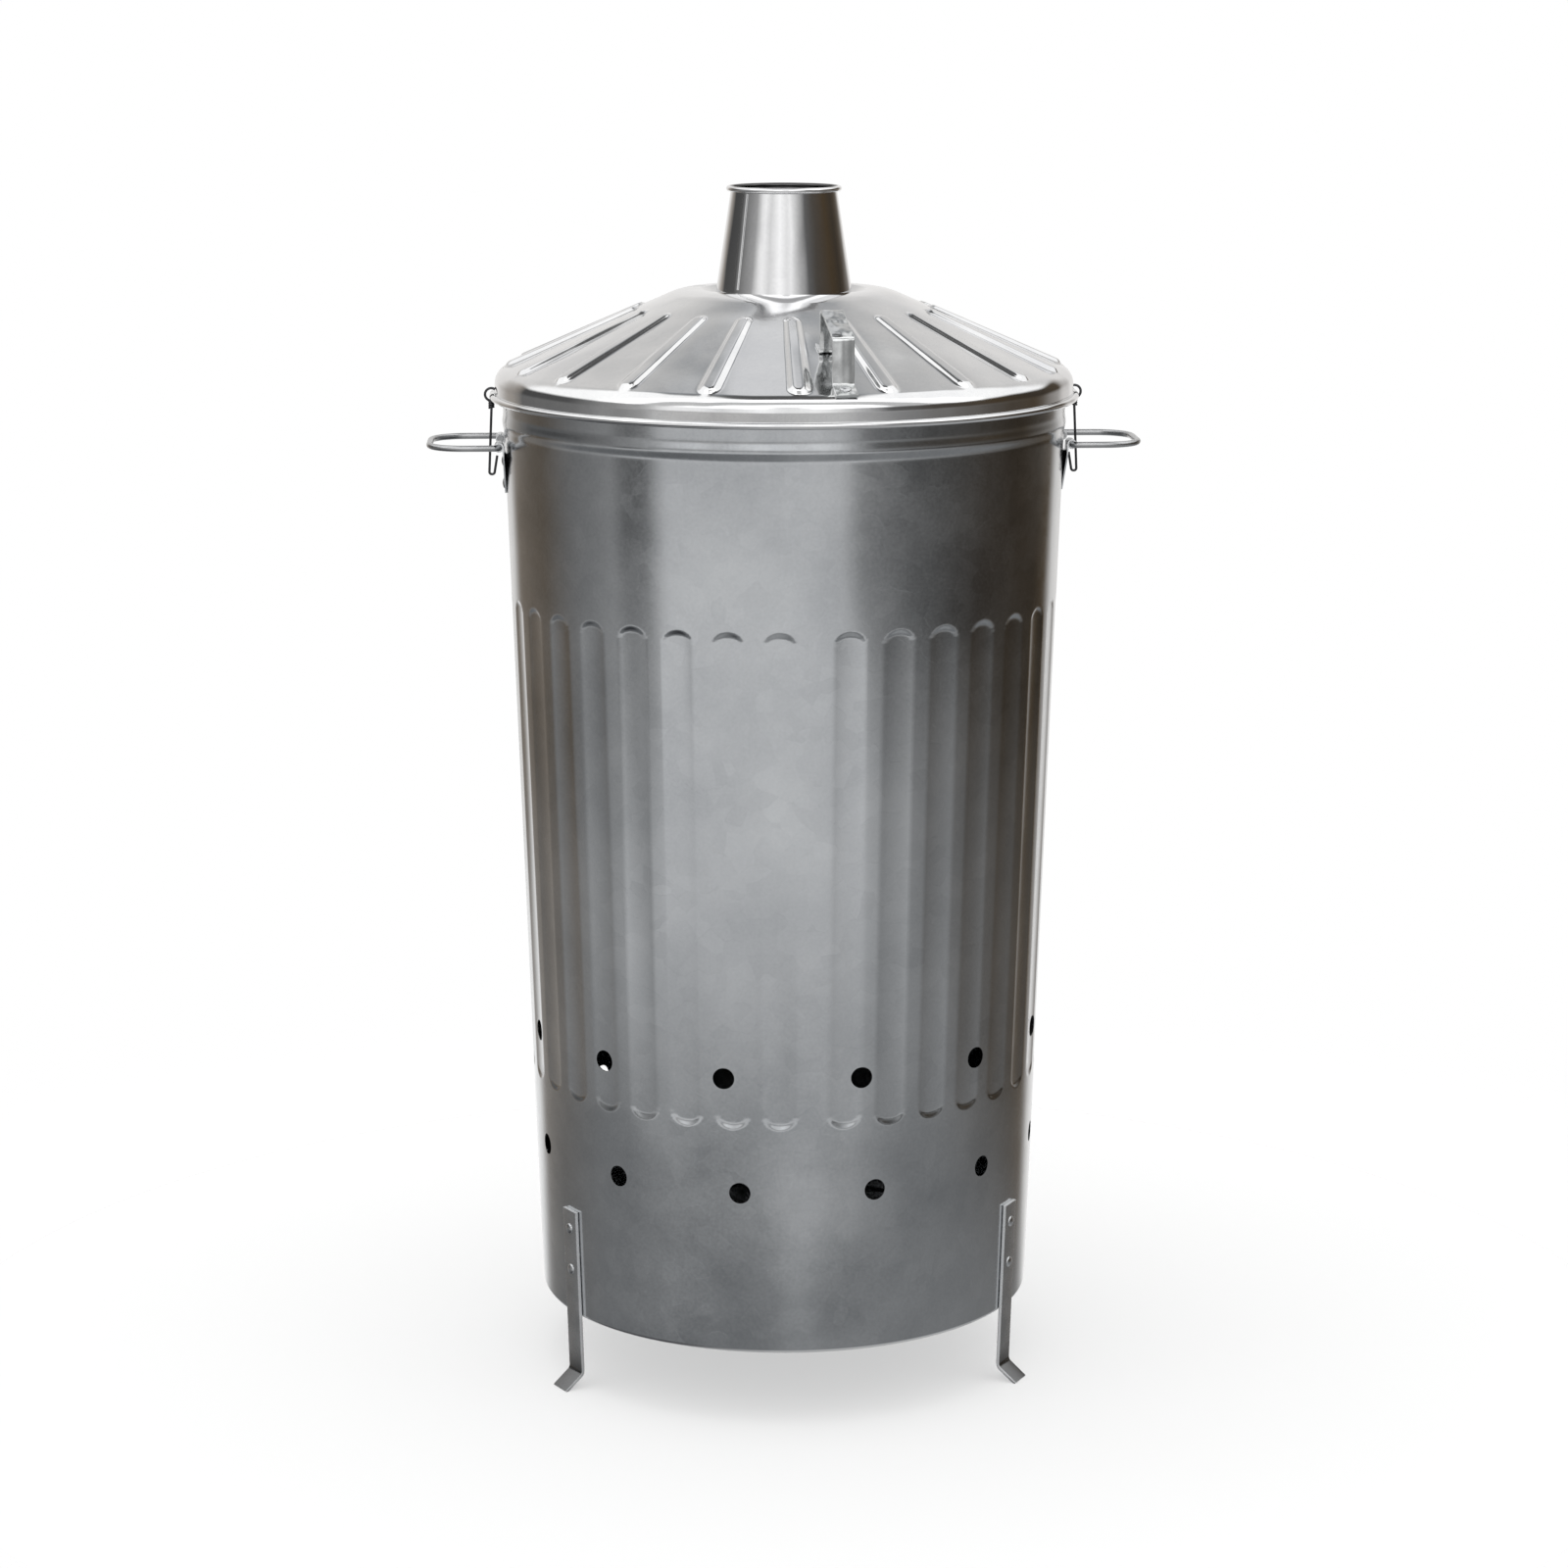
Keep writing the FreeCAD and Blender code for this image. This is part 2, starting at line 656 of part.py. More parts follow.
def make_side_handle(label, azimuth):
    """A bent wire loop whose two ends turn in through the ear's knuckles."""
    handle = new_body(label)
    side = "sizes.handle_width / 2"
    end = "(sizes.ear_top_width / 2 - sizes.knuckle_length - sizes.handle_stub)"
    path = sketch_on(handle, f"{label}_path", "XY_Plane")
    near = [
        ("0", f"-{end}"),
        ("0", f"-{side}", HANDLE_ELBOW),
        ("sizes.handle_reach", f"-{side}", "sizes.handle_corner"),
    ]
    far = [
        ("sizes.handle_reach", side, "sizes.handle_corner"),
        ("0", side, HANDLE_ELBOW),
        ("0", end),
    ]
    draw(path, near + far, closed=False)
    section = sketch_on(handle, f"{label}_section")
    section.setExpression(".AttachmentOffset.Base.z", end)
    draw_circle(section, "0", "0", "sizes.handle_wire / 2")
    swept(handle, section, path)
    pivot = ear_place(azimuth).multVec(V(value(KNUCKLE_RADIUS), 0, 0))
    handle.Placement = FreeCAD.Placement(pivot, FreeCAD.Rotation(V(0, 0, 1), azimuth - 90))
    return handle


# Lid

def lid_outline(sheet_depth):
    """Corners of the lid's section, as far inside its upper face as the sheet's depth."""
    depth = sheet_depth
    cone_drop = f"{depth} / cos(sizes.lid_slope)"
    corner_shift = f"{depth} * tan(sizes.lid_slope / 2)"
    hole = "(sizes.chimney_radius - sizes.chimney_neck_inset + sizes.chimney_neck_clearance)"
    skirt = f"(sizes.skirt_radius - {depth})"
    bend = "sizes.seat_bend"
    return [
        (hole, BEAD_HEIGHT),
        (hole, f"{SEAT} - {depth}"),
        (f"sizes.seat_outer_radius + {depth} / 2", f"{SEAT} - {depth}", bend),
        (f"sizes.crown_inner_radius + {depth} / 2", f"{CROWN} - {depth}", bend),
        (f"sizes.crown_radius - {corner_shift}", f"{CROWN} - {depth}", f"sizes.crown_bend - {depth}"),
        (skirt, f"{lid_top(skirt)} - {cone_drop}", f"sizes.shoulder_bend - {depth}"),
        (skirt, BEAD_HEIGHT),
    ]


def lid_ribs(lid, kind, name, arc):
    """The ring of pressed ribs, as bars of one arc radius, added or cut."""
    middle = "((sizes.rib_inner_radius + sizes.rib_outer_radius) / 2)"
    sink = f"({RIB_ARC} - sizes.rib_rise)"
    half_length = ("(sizes.rib_outer_radius - sizes.rib_inner_radius - sizes.rib_width)"
                   " / (2 * cos(sizes.lid_slope))")
    bar = capsule(lid, kind, name, 0, f"{middle} - {sink} * sin(sizes.lid_slope)",
                  f"{lid_top(middle)} - {sink} * cos(sizes.lid_slope)", 90 + LID_SLOPE, half_length, arc)
    return around(lid, bar, "sizes.ribs")


def grip_feet():
    """Radii, on the lid's face, of the rivets through the strap's feet, just clear of its bends."""
    half = "sizes.grip_thickness / 2"
    reach = "sizes.rivet_head / 2 + sizes.grip_rivet_clearance"
    shift = f"{GRIP_FACE} * sin(sizes.lid_slope)"

    def away(turn):
        bend = f"(sizes.grip_bend - {half}) * tan(({turn}) / 2)"
        return f"({half} + ({bend} + {reach}) * cos(sizes.lid_slope))"

    return {
        "inner": f"(sizes.grip_inner_radius - {away('90 + sizes.lid_slope')} - {shift})",
        "outer": f"(sizes.grip_outer_radius + {away('90 - sizes.lid_slope')} - {shift})",
    }


def slot_height():
    """Height of the middle of the slot through which a clip's eye passes the skirt."""
    thin = "sizes.clip_wire / 2"
    inside = f"({EYE_CENTRE} - sizes.skirt_radius + sizes.wall)"
    outside = f"({EYE_CENTRE} - sizes.skirt_radius)"
    low = f"sqrt((sizes.clip_eye - {thin}) ^ 2 - {inside} ^ 2)"
    high = f"sqrt((sizes.clip_eye + {thin}) ^ 2 - {outside} ^ 2)"
    return f"{EYE_HEIGHT} + ({low} + {high}) / 2"


def make_lid_shell():
    lid = new_body("lid_shell")
    outer = sketch_on(lid, "lid_outer")
    draw(outer, lid_outline("0"))
    turned(lid, "Revolution", outer)
    lid_ribs(lid, "Revolution", "rib", RIB_ARC)
    inner = sketch_on(lid, "lid_inner")
    draw(inner, lid_outline("sizes.wall"))
    turned(lid, "Groove", inner)
    lid_ribs(lid, "Groove", "rib_back", f"{RIB_ARC} - sizes.wall")
    bead = sketch_on(lid, "bead")
    draw_circle(bead, BEAD_CENTRE, BEAD_HEIGHT, BEAD_RADIUS)
    turned(lid, "Revolution", bead)
    channel = sketch_on(lid, "bead_channel")
    draw_circle(channel, BEAD_CENTRE, BEAD_HEIGHT, f"{BEAD_RADIUS} - sizes.wall")
    turned(lid, "Groove", channel)
    turn = value("sizes.grip_azimuth")
    for end, radius in grip_feet().items():
        drill(lid, f"grip_hole_{end}", turn, radius, lid_top(radius), LID_SLOPE, RIVET_HOLE)
    slot = drill(lid, "clip_slot", SIDES["right"], "sizes.skirt_radius", slot_height(), 90, "sizes.clip_slot")
    around(lid, slot, len(SIDES))
    return lid


def make_lid_rim_wire():
    wire = doc.addObject("Part::Torus", "lid_rim_wire")
    wire.setExpression("Radius1", BEAD_CENTRE)
    wire.setExpression("Radius2", "sizes.bead_wire / 2")
    wire.setExpression(".Placement.Base.z", BEAD_HEIGHT)
    return wire


def make_chimney():
    """A tapered flue: its neck goes through the lid and its flange turns out beneath."""
    chimney = new_body("chimney")
    neck = "(sizes.chimney_radius - sizes.chimney_neck_inset)"
    under = f"{SEAT} - sizes.wall - sizes.seat_gap"
    rest = f"{SEAT} + sizes.seat_gap"
    foot = f"{SEAT} + sizes.chimney_foot"
    outer = sketch_on(chimney, "chimney_outer")
    draw(outer, [
        ("0", f"{under} - sizes.wall"),
        (f"{neck} + sizes.chimney_flange", f"{under} - sizes.wall"),
        (f"{neck} + sizes.chimney_flange", under),
        (neck, under),
        (neck, rest),
        ("sizes.chimney_radius", rest),
        ("sizes.chimney_radius", foot),
        ("sizes.chimney_mouth_radius", f"{MOUTH} - sizes.mouth_roll"),
        ("0", f"{MOUTH} - sizes.mouth_roll"),
    ])
    turned(chimney, "Revolution", outer)
    mouth = sketch_on(chimney, "mouth")
    draw_circle(mouth, "sizes.chimney_mouth_radius - sizes.wall + sizes.mouth_roll",
                f"{MOUTH} - sizes.mouth_roll", "sizes.mouth_roll")
    turned(chimney, "Revolution", mouth)
    inner = sketch_on(chimney, "chimney_inner")
    thin = "sizes.wall"
    draw(inner, [
        ("0", f"{under} - 2 * {thin}"),
        (f"{neck} - {thin}", f"{under} - 2 * {thin}"),
        (f"{neck} - {thin}", f"{rest} + {thin}"),
        (f"sizes.chimney_radius - {thin}", f"{rest} + {thin}"),
        (f"sizes.chimney_radius - {thin}", foot),
        (f"sizes.chimney_mouth_radius - {thin}", f"{MOUTH} - sizes.mouth_roll"),
        (f"sizes.chimney_mouth_radius - {thin}", f"{MOUTH} + {thin}"),
        ("0", f"{MOUTH} + {thin}"),
    ])
    turned(chimney, "Groove", inner)
    add_chimney_seam(chimney, foot)
    return chimney


def add_chimney_seam(chimney, foot):
    """The folded seam up the side of the flue, a strip a few degrees wide."""
    azimuth = value("sizes.seam_azimuth")
    seam = radial_sketch(chimney, "chimney_seam", azimuth, "0", "0", 0)
    low, high = foot, f"{MOUTH} - 2 * sizes.mouth_roll"
    lean = "(sizes.chimney_radius - sizes.chimney_mouth_radius) / (sizes.chimney_height"
    lean = f"{lean} - sizes.chimney_foot - sizes.mouth_roll)"
    top = f"(sizes.chimney_mouth_radius + {lean} * sizes.mouth_roll)"
    embed = "sizes.wall / 2"
    draw(seam, [
        (f"sizes.chimney_radius - {embed}", low),
        ("sizes.chimney_radius + sizes.seam_rise", low),
        (f"{top} + sizes.seam_rise", high),
        (f"{top} - {embed}", high),
    ])
    width = turned(chimney, "Revolution", seam)
    width.setExpression("Angle", "sizes.seam_width / sizes.chimney_radius * 180 / pi")
    width.Midplane = True


# Lid handle and clips

def make_lid_handle():
    """A strap bent into a bridge, with a foot on the cone at each end."""
    grip = new_body("lid_handle")
    lift = "(sizes.grip_thickness / 2 + sizes.grip_seat_gap) / cos(sizes.lid_slope)"

    def on_cone(radius):
        return f"{lid_top(radius)} + {lift}"

    inner, outer = "sizes.grip_inner_radius", "sizes.grip_outer_radius"
    start = f"({inner} - sizes.grip_foot)"
    end = f"({outer} + sizes.grip_foot)"
    bend = "sizes.grip_bend"
    path = sketch_on(grip, "grip_path")
    draw(path, [
        (start, on_cone(start)),
        (inner, on_cone(inner), bend),
        (inner, f"{on_cone(inner)} + sizes.grip_rise", bend),
        (outer, f"{on_cone(outer)} + sizes.grip_rise", bend),
        (outer, on_cone(outer), bend),
        (end, on_cone(end)),
    ], closed=False)
    section = sketch_on(grip, "grip_section", "YZ_Plane")
    section.setExpression(".AttachmentOffset.Base.z", start)
    half = "sizes.grip_thickness / (2 * cos(sizes.lid_slope))"
    across = "sizes.grip_width / 2"
    middle = on_cone(start)
    draw(section, [
        (f"-{across}", f"{middle} - {half}"),
        (across, f"{middle} - {half}"),
        (across, f"{middle} + {half}"),
        (f"-{across}", f"{middle} + {half}"),
    ])
    swept(grip, section, path)
    doc.recompute()
    for place, radius in grip_feet().items():
        drill_foot(grip, f"foot_hole_{place}", radius)
    turn_about_axis(grip, value("sizes.grip_azimuth"))
    return grip


def drill_foot(grip, name, radius):
    """A rivet hole through a foot of the strap, no deeper than its bridge is high."""
    sketch = radial_sketch(grip, name, SIDES["right"], radius, lid_top(radius), LID_SLOPE)
    side, reach = f"{RIVET_HOLE} / 2", "sizes.grip_rise / 2"
    draw(sketch, [("0", f"-{reach}"), (side, f"-{reach}"), (side, reach), ("0", reach)])
    return turned(grip, "Groove", sketch)


def grip_rivets():
    """Rivets through the strap's feet and the lid."""
    face = value(GRIP_FACE)
    solid = rivet(face + value("sizes.wall + 2 * sizes.seat_gap"))
    slope = math.radians(LID_SLOPE)
    solids = []
    for radius in grip_feet().values():
        spot = value(radius) + face * math.sin(slope)
        height = value(lid_top(radius)) + face * math.cos(slope)
        solids.append(set_on(solid, value("sizes.grip_azimuth"), spot, height, LID_SLOPE))
    return group("lid_handle_rivets", solids)


def make_clip(label, azimuth):
    """A wire hook: an eye round the lid's bead, a short twist, a shank and a turned-in point."""
    clip = new_body(label)
    thin = "sizes.clip_wire / 2"
    eye = sketch_on(clip, f"{label}_eye", "XY_Plane")
    draw_circle(eye, "sizes.clip_eye", "0", thin)
    turned(clip, "Revolution", eye)
    path = sketch_on(clip, f"{label}_path")
    draw(path, [
        ("0", "-sizes.clip_eye"),
        ("0", "-(sizes.clip_eye + sizes.clip_twist)", "sizes.clip_twist"),
        ("sizes.clip_lean", "-sizes.clip_drop", "sizes.clip_bend"),
        ("sizes.clip_lean - sizes.hook_width", "-sizes.clip_drop", "sizes.clip_bend"),
        ("sizes.clip_lean - sizes.hook_reach", "sizes.hook_rise - sizes.clip_drop"),
    ], closed=False)
    section = sketch_on(clip, f"{label}_section", "XY_Plane")
    section.setExpression(".AttachmentOffset.Base.z", "-sizes.clip_eye")
    draw_circle(section, "0", "0", thin)
    swept(clip, section, path)
    twist = sketch_on(clip, f"{label}_twist", "XY_Plane")
    twist.setExpression(".AttachmentOffset.Base.z", "-(sizes.clip_eye + sizes.clip_twist)")
    draw_circle(twist, "0", "0", "sizes.clip_twist_width / 2")
    padded(clip, twist, "sizes.clip_twist")
    turn = FreeCAD.Rotation(V(0, 0, 1), azimuth - 90)
    centre = turn.multVec(V(value(EYE_CENTRE), 0, value(EYE_HEIGHT)))
    clip.Placement = FreeCAD.Placement(centre, turn)
    return clip


def build():
    """Makes every sub-part and returns them in the order of assembly."""
    leg_levels = ["sizes.leg_rivet_low", "sizes.leg_rivet_high"]
    ear_levels = [f"(sizes.handle_height - sizes.ear_rivet_{level})" for level in ("low", "high")]
    nodes = [make_body_shell(), make_base_pan()]
    nodes += [make_leg(label, azimuth) for label, azimuth in LEGS.items()]
    nodes.append(wall_rivets("leg_rivets", LEGS.values(), leg_levels, "sizes.leg_thickness"))
    nodes += [make_ear(f"handle_bracket_{side}", azimuth) for side, azimuth in SIDES.items()]
    nodes.append(wall_rivets("bracket_rivets", SIDES.values(), ear_levels, "sizes.ear_thickness"))
    nodes += [make_side_handle(f"side_handle_{side}", azimuth) for side, azimuth in SIDES.items()]
    nodes += [make_lid_shell(), make_lid_rim_wire(), make_chimney(), make_lid_handle(), grip_rivets()]
    nodes += [make_clip(f"lid_clip_{side}", azimuth) for side, azimuth in SIDES.items()]
    return nodes


def check(nodes):
    """Stops if any object failed to build or any sub-part has no sound shape."""
    for item in doc.Objects:
        if "Invalid" in item.State or "Error" in item.State:
            raise RuntimeError(f"{item.Name} failed: {item.State}")
    for node in nodes:
        if node.Shape.isNull() or not node.Shape.isValid():
            raise RuntimeError(f"{node.Label} has no valid shape")


nodes = build()
doc.recompute()
check(nodes)
os.makedirs("parts", exist_ok=True)
for node in nodes:
    node.Shape.exportStep(os.path.join("parts", f"{node.Label}.step"))
    print(node.Label, len(node.Shape.Solids), "solids", round(node.Shape.Volume / 1000, 2), "cm3")
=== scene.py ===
# %% [markdown]
# # A galvanised garden incinerator
#
# The real object is a tall, slightly tapered bin of thin zinc-coated sheet. Long shallow flutes stiffen
# its wall, rings of air holes feed the fire, three strap legs keep it off the ground, and a ribbed lid
# with a short flue sits on top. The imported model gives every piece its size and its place. What Blender
# adds is the smooth pressed sheet, the rolled edges and the crystalline zinc skin.

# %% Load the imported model
import math

import bmesh
import bpy
from mathutils import Matrix, Vector


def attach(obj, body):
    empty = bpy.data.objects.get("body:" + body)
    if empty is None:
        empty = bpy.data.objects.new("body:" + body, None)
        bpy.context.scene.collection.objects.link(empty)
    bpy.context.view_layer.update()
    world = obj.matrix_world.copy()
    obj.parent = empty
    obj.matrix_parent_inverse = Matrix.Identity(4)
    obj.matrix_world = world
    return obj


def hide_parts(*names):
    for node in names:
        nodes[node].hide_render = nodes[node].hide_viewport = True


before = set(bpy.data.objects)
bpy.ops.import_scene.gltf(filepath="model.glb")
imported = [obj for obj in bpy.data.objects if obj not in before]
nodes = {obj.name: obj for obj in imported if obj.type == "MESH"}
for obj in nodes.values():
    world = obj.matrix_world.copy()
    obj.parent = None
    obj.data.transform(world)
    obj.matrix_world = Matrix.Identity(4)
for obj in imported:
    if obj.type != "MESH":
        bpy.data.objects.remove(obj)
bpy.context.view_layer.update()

MM = 0.001
MERGE = 0.01 * MM

# %% [markdown]
# ## Helpers for node trees
#
# Geometry Nodes and shader groups are both networks of small nodes. Each could be written out node by
# node, but a rule is easier to follow when it reads like a formula. So one helper adds nodes and joins
# their inputs, with short names for the kinds that recur, and others open and close a tree.


# %% Helpers for node trees
class Wires:
    """Adds nodes to a tree and joins them."""

    def __init__(self, tree):
        self.tree = tree

    def join(self, given, socket):
        if isinstance(given, bpy.types.NodeSocket):
            self.tree.links.new(given, socket)
        elif given is not None:
            socket.default_value = given

    def add(self, kind, *inputs, named=None, **settings):
        node = self.tree.nodes.new(kind)
        for key, setting in settings.items():
            setattr(node, key, setting)
        for socket, given in zip(node.inputs, inputs):
            self.join(given, socket)
        for label, given in (named or {}).items():
            self.join(given, node.inputs[label])
        return node

    def math(self, operation, *inputs):
        return self.add("ShaderNodeMath", *inputs, operation=operation).outputs[0]

    def times(self, first, second):
        return self.math("MULTIPLY", first, second)

    def minus(self, first, second):
        return self.math("SUBTRACT", first, second)

    def total(self, *terms):
        """The sum of values, each times its weight."""
        result = 0.0
        for value, weight in terms:
            result = self.math("MULTIPLY_ADD", value, weight, result)
        return result

    def diagonal(self, across, along):
        """The distance that two lengths at right angles make."""
        squares = [self.math("POWER", length, 2.0) for length in (across, along)]
        return self.math("SQRT", self.math("ADD", *squares))

    def vector(self, operation, *inputs):
        node = self.add("ShaderNodeVectorMath", *inputs, operation=operation)
        return node.outputs["Value" if operation in ("LENGTH", "DOT_PRODUCT") else "Vector"]

    def parts(self, place):
        """The x, y and z of a place."""
        return self.add("ShaderNodeSeparateXYZ", place).outputs

    def remap(self, value, start, end, low=0.0, high=1.0, smooth=False):
        """Goes from low to high as a value goes from its start to its end."""
        kind = "SMOOTHSTEP" if smooth else "LINEAR"
        node = self.add("ShaderNodeMapRange", value, start, end, low, high, interpolation_type=kind)
        return node.outputs[0]

    def mix(self, share, first, second, kind="RGBA"):
        """Goes from the first colour or value to the second by a share."""
        node = self.add("ShaderNodeMix", share, data_type=kind)
        for label, given in (("A", first), ("B", second)):
            self.join((*given, 1.0) if isinstance(given, tuple) else given, node.inputs[label])
        return node.outputs["Result"]

    def noise(self, place, scale, detail, roughness=0.5):
        sockets = {"Vector": place, "Scale": scale, "Detail": detail, "Roughness": roughness}
        return self.add("ShaderNodeTexNoise", named=sockets).outputs

    def geometry(self, kind, *inputs, output=0, **rest):
        """One output of a new geometry node."""
        return self.add("GeometryNode" + kind, *inputs, **rest).outputs[output]


def floats(defaults):
    """Sockets for numbers, from their labels and defaults."""
    return [(label, "Float", default) for label, default in defaults.items()]


def open_tree(name, kind, inputs, outputs):
    """A new tree with its sockets, and the wires, the given inputs and the results to join."""
    tree = bpy.data.node_groups.new(name, kind)
    for label, socket, default in inputs:
        item = tree.interface.new_socket(label, in_out="INPUT", socket_type=f"NodeSocket{socket}")
        if default is not None:
            item.default_value = default
    for label, socket in outputs:
        tree.interface.new_socket(label, in_out="OUTPUT", socket_type=f"NodeSocket{socket}")
    given = tree.nodes.new("NodeGroupInput").outputs
    result = tree.nodes.new("NodeGroupOutput").inputs
    return tree, Wires(tree), given, result


def open_look_tree(name, inputs, *outputs):
    """A shader group: numbers come in, and numbers go out."""
    return open_tree(name, "ShaderNodeTree", floats(inputs), [(label, "Float") for label in outputs])


def open_shape_tree(name, inputs):
    """A geometry tree: a mesh comes in, a finish is named, and a mesh goes out."""
    sockets = [("Mesh", "Geometry", None), ("Finish", "Material", None)] + inputs
    return open_tree(name, "GeometryNodeTree", sockets, [("Mesh", "Geometry")])


CREASE = math.radians(38.0)


def close_shape_tree(w, mesh, given, result):
    """Makes copies real, shades them smooth except at creases, and gives them their finish."""
    smooth = w.geometry("SetShadeSmooth", w.geometry("RealizeInstances", mesh))
    sharp = w.math("GREATER_THAN", w.geometry("InputMeshEdgeAngle"), CREASE)
    edges = w.geometry("SetShadeSmooth", smooth, sharp, False, domain="EDGE")
    w.join(w.geometry("SetMaterial", edges, named={"Material": given["Finish"]}), result[0])


print("tree helpers ready")

# %% [markdown]
# ## The zinc skin
#
# Hot-dip galvanised steel shows crystals, called spangle, about as wide as a fingertip. Each crystal
# is a slightly different grey and a slightly different gloss, and the thin sheet behind them is never
# quite flat, so reflections wander. An image could show that, but a Voronoi pattern is itself a crystal
# pattern: cells that grew until they met. It lives in one group, because every sheet and strap uses it
# at its own scale.

# %% The spangle group
def make_spangle():
    warp_scale, warp_reach, grit_scale, stretch = 30.0, 0.012, 420.0, 0.3
    tree, w, given, result = open_look_tree(
        "zinc spangle", {"Crystals": 70.0, "Mottle": 9.0, "Waves": 7.0}, "Tone", "Gloss", "Height")
    place = w.add("ShaderNodeTexCoord").outputs["Object"]
    warp = w.vector("MULTIPLY", w.noise(place, warp_scale, 2.0)["Color"], (warp_reach,) * 3)
    moved = w.vector("ADD", place, warp)
    cells = w.add("ShaderNodeTexVoronoi", named={"Vector": moved, "Scale": given["Crystals"]})
    crystal = w.add("ShaderNodeSeparateColor", cells.outputs["Color"]).outputs
    cloud = w.noise(place, given["Mottle"], 5.0, 0.55)[0]
    grit = w.noise(place, grit_scale, 3.0)[0]
    drawn = w.vector("MULTIPLY", place, (1.0, 1.0, stretch))
    swell = w.noise(drawn, given["Waves"], 1.0)[0]
    w.join(w.total((crystal[0], 0.05), (cloud, 0.78), (grit, 0.17)), result["Tone"])
    w.join(w.total((cloud, 0.7), (crystal[1], 0.1), (grit, 0.2)), result["Gloss"])
    w.join(w.total((swell, 1.0), (crystal[2], 0.001)), result["Height"])
    return tree


SPANGLE = make_spangle()
print("group:", SPANGLE.name)

# %% [markdown]
# ## Scuffs from handling
#
# A bin that has been carried and stacked has pale scratches and a few dull smears. They could be drawn
# one by one. A stretched noise that is cut off near its top gives the same scatter of short marks, and
# it stays put on the metal from every side.

# %% The scuff group
def make_scuffs():
    stretch, softness = 0.35, 0.12
    tree, w, given, result = open_look_tree("handling scuffs", {"Scale": 26.0, "Cut": 0.66}, "Mask")
    place = w.add("ShaderNodeTexCoord").outputs["Object"]
    long = w.vector("MULTIPLY", place, (1.0, 1.0, stretch))
    marks = w.noise(long, given["Scale"], 8.0, 0.72)[0]
    end = w.math("ADD", given["Cut"], softness)
    w.join(w.remap(marks, given["Cut"], end), result["Mask"])
    return tree


SCUFFS = make_scuffs()
print("group:", SCUFFS.name)

# %% [markdown]
# ## One recipe for the zinc finishes
#
# All the metal here is zinc over steel, so one function writes every finish: two greys that the spangle
# mixes, a range of roughness, and a bump that makes the sheet wander. The body is satin and bluish, the
# lid and flue are brighter and smoother, straps and wire are in between.

# %% Zinc finishes
SCRATCH = (0.78, 0.79, 0.8)
SCRATCH_SHARE, SCRATCH_DULLING = 0.175, 0.05
TONES, GLOSSES = (0.3, 0.7), (0.25, 0.75)


def shader_of(material):
    """The wires of a finish and the inputs of its shader."""
    return Wires(material.node_tree), material.node_tree.nodes["Principled BSDF"].inputs


def new_finish(name):
    material = bpy.data.materials.new(name)
    material.use_nodes = True
    return material, *shader_of(material)


def zinc(name, dark, light, rough, crystals=70.0, mottle=9.0, waves=7.0, swell=0.5):
    """A finish from two greys, a range of roughness, three scales of pattern and a swell in millimetres."""
    material, w, shader = new_finish(name)
    shader["Metallic"].default_value = 1.0
    scales = {"Crystals": crystals, "Mottle": mottle, "Waves": waves}
    skin = w.add("ShaderNodeGroup", node_tree=SPANGLE, named=scales).outputs
    marks = w.add("ShaderNodeGroup", node_tree=SCUFFS).outputs["Mask"]
    colour = w.mix(w.remap(skin["Tone"], *TONES), dark, light)
    w.join(w.mix(w.times(marks, SCRATCH_SHARE), colour, SCRATCH), shader["Base Color"])
    base = w.remap(skin["Gloss"], *GLOSSES, *rough)
    w.join(w.math("MULTIPLY_ADD", marks, SCRATCH_DULLING, base), shader["Roughness"])
    bump = w.add("ShaderNodeBump", named={"Strength": 1.0, "Distance": swell * MM, "Height": skin["Height"]})
    w.join(bump.outputs[0], shader["Normal"])
    return material


BODY = zinc("satin galvanised sheet", (0.39, 0.405, 0.42), (0.59, 0.605, 0.62), (0.1, 0.22), swell=7.0)
LID = zinc("bright galvanised sheet", (0.64, 0.645, 0.66), (0.83, 0.83, 0.825), (0.06, 0.14),
           waves=17.0, swell=2.8)
FLUE = zinc("polished galvanised sheet", (0.66, 0.66, 0.67), (0.84, 0.84, 0.84), (0.05, 0.11),
            waves=60.0, swell=0.4)
STRAP = zinc("zinc strap", (0.42, 0.43, 0.44), (0.62, 0.63, 0.64), (0.2, 0.34),
             crystals=160.0, mottle=40.0, waves=30.0, swell=0.3)
WIRE = zinc("zinc wire", (0.36, 0.365, 0.37), (0.52, 0.525, 0.53), (0.22, 0.34),
            crystals=200.0, mottle=60.0, waves=40.0, swell=0.2)
BRIDGE = zinc("bright strap", (0.5, 0.51, 0.51), (0.76, 0.77, 0.77), (0.1, 0.22),
              crystals=160.0, mottle=40.0, waves=90.0, swell=2.2)
FINE = {"crystals": 260.0, "mottle": 90.0, "waves": 60.0, "swell": 0.1}
RIVET = zinc("rivet steel", (0.45, 0.46, 0.47), (0.62, 0.63, 0.64), (0.22, 0.34), **FINE)
DARK = zinc("dark drawn wire", (0.05, 0.05, 0.052), (0.11, 0.11, 0.115), (0.32, 0.5), **FINE)
print("finishes:", [m.name for m in (BODY, LID, FLUE, STRAP, WIRE, BRIDGE, RIVET, DARK)])

# %% [markdown]
# ## Edges and feet
#
# Strip is sheared to width, so its narrow sides are bare steel; their near-white colour is a painted
# highlight. The feet are painted dark near the ground as shade, and the bin's bottom fold is painted pale
# as a reflection of the pale floor. The flue is darker inside. No image is needed for any of this: a side
# is cut where it faces along the wall instead of out of it, an inside faces the axis, and the rest is a
# matter of height.

# %% The group for painted light and shade
# Near-white: a painted highlight on the cut sides of strip, which are bare steel.
CUT_SIDE_HIGHLIGHT = (0.92, 0.93, 0.94)
NEAR_BLACK = (0.02, 0.02, 0.02)
LOW_SHARE, CUT_DULLING = 0.8, 0.25


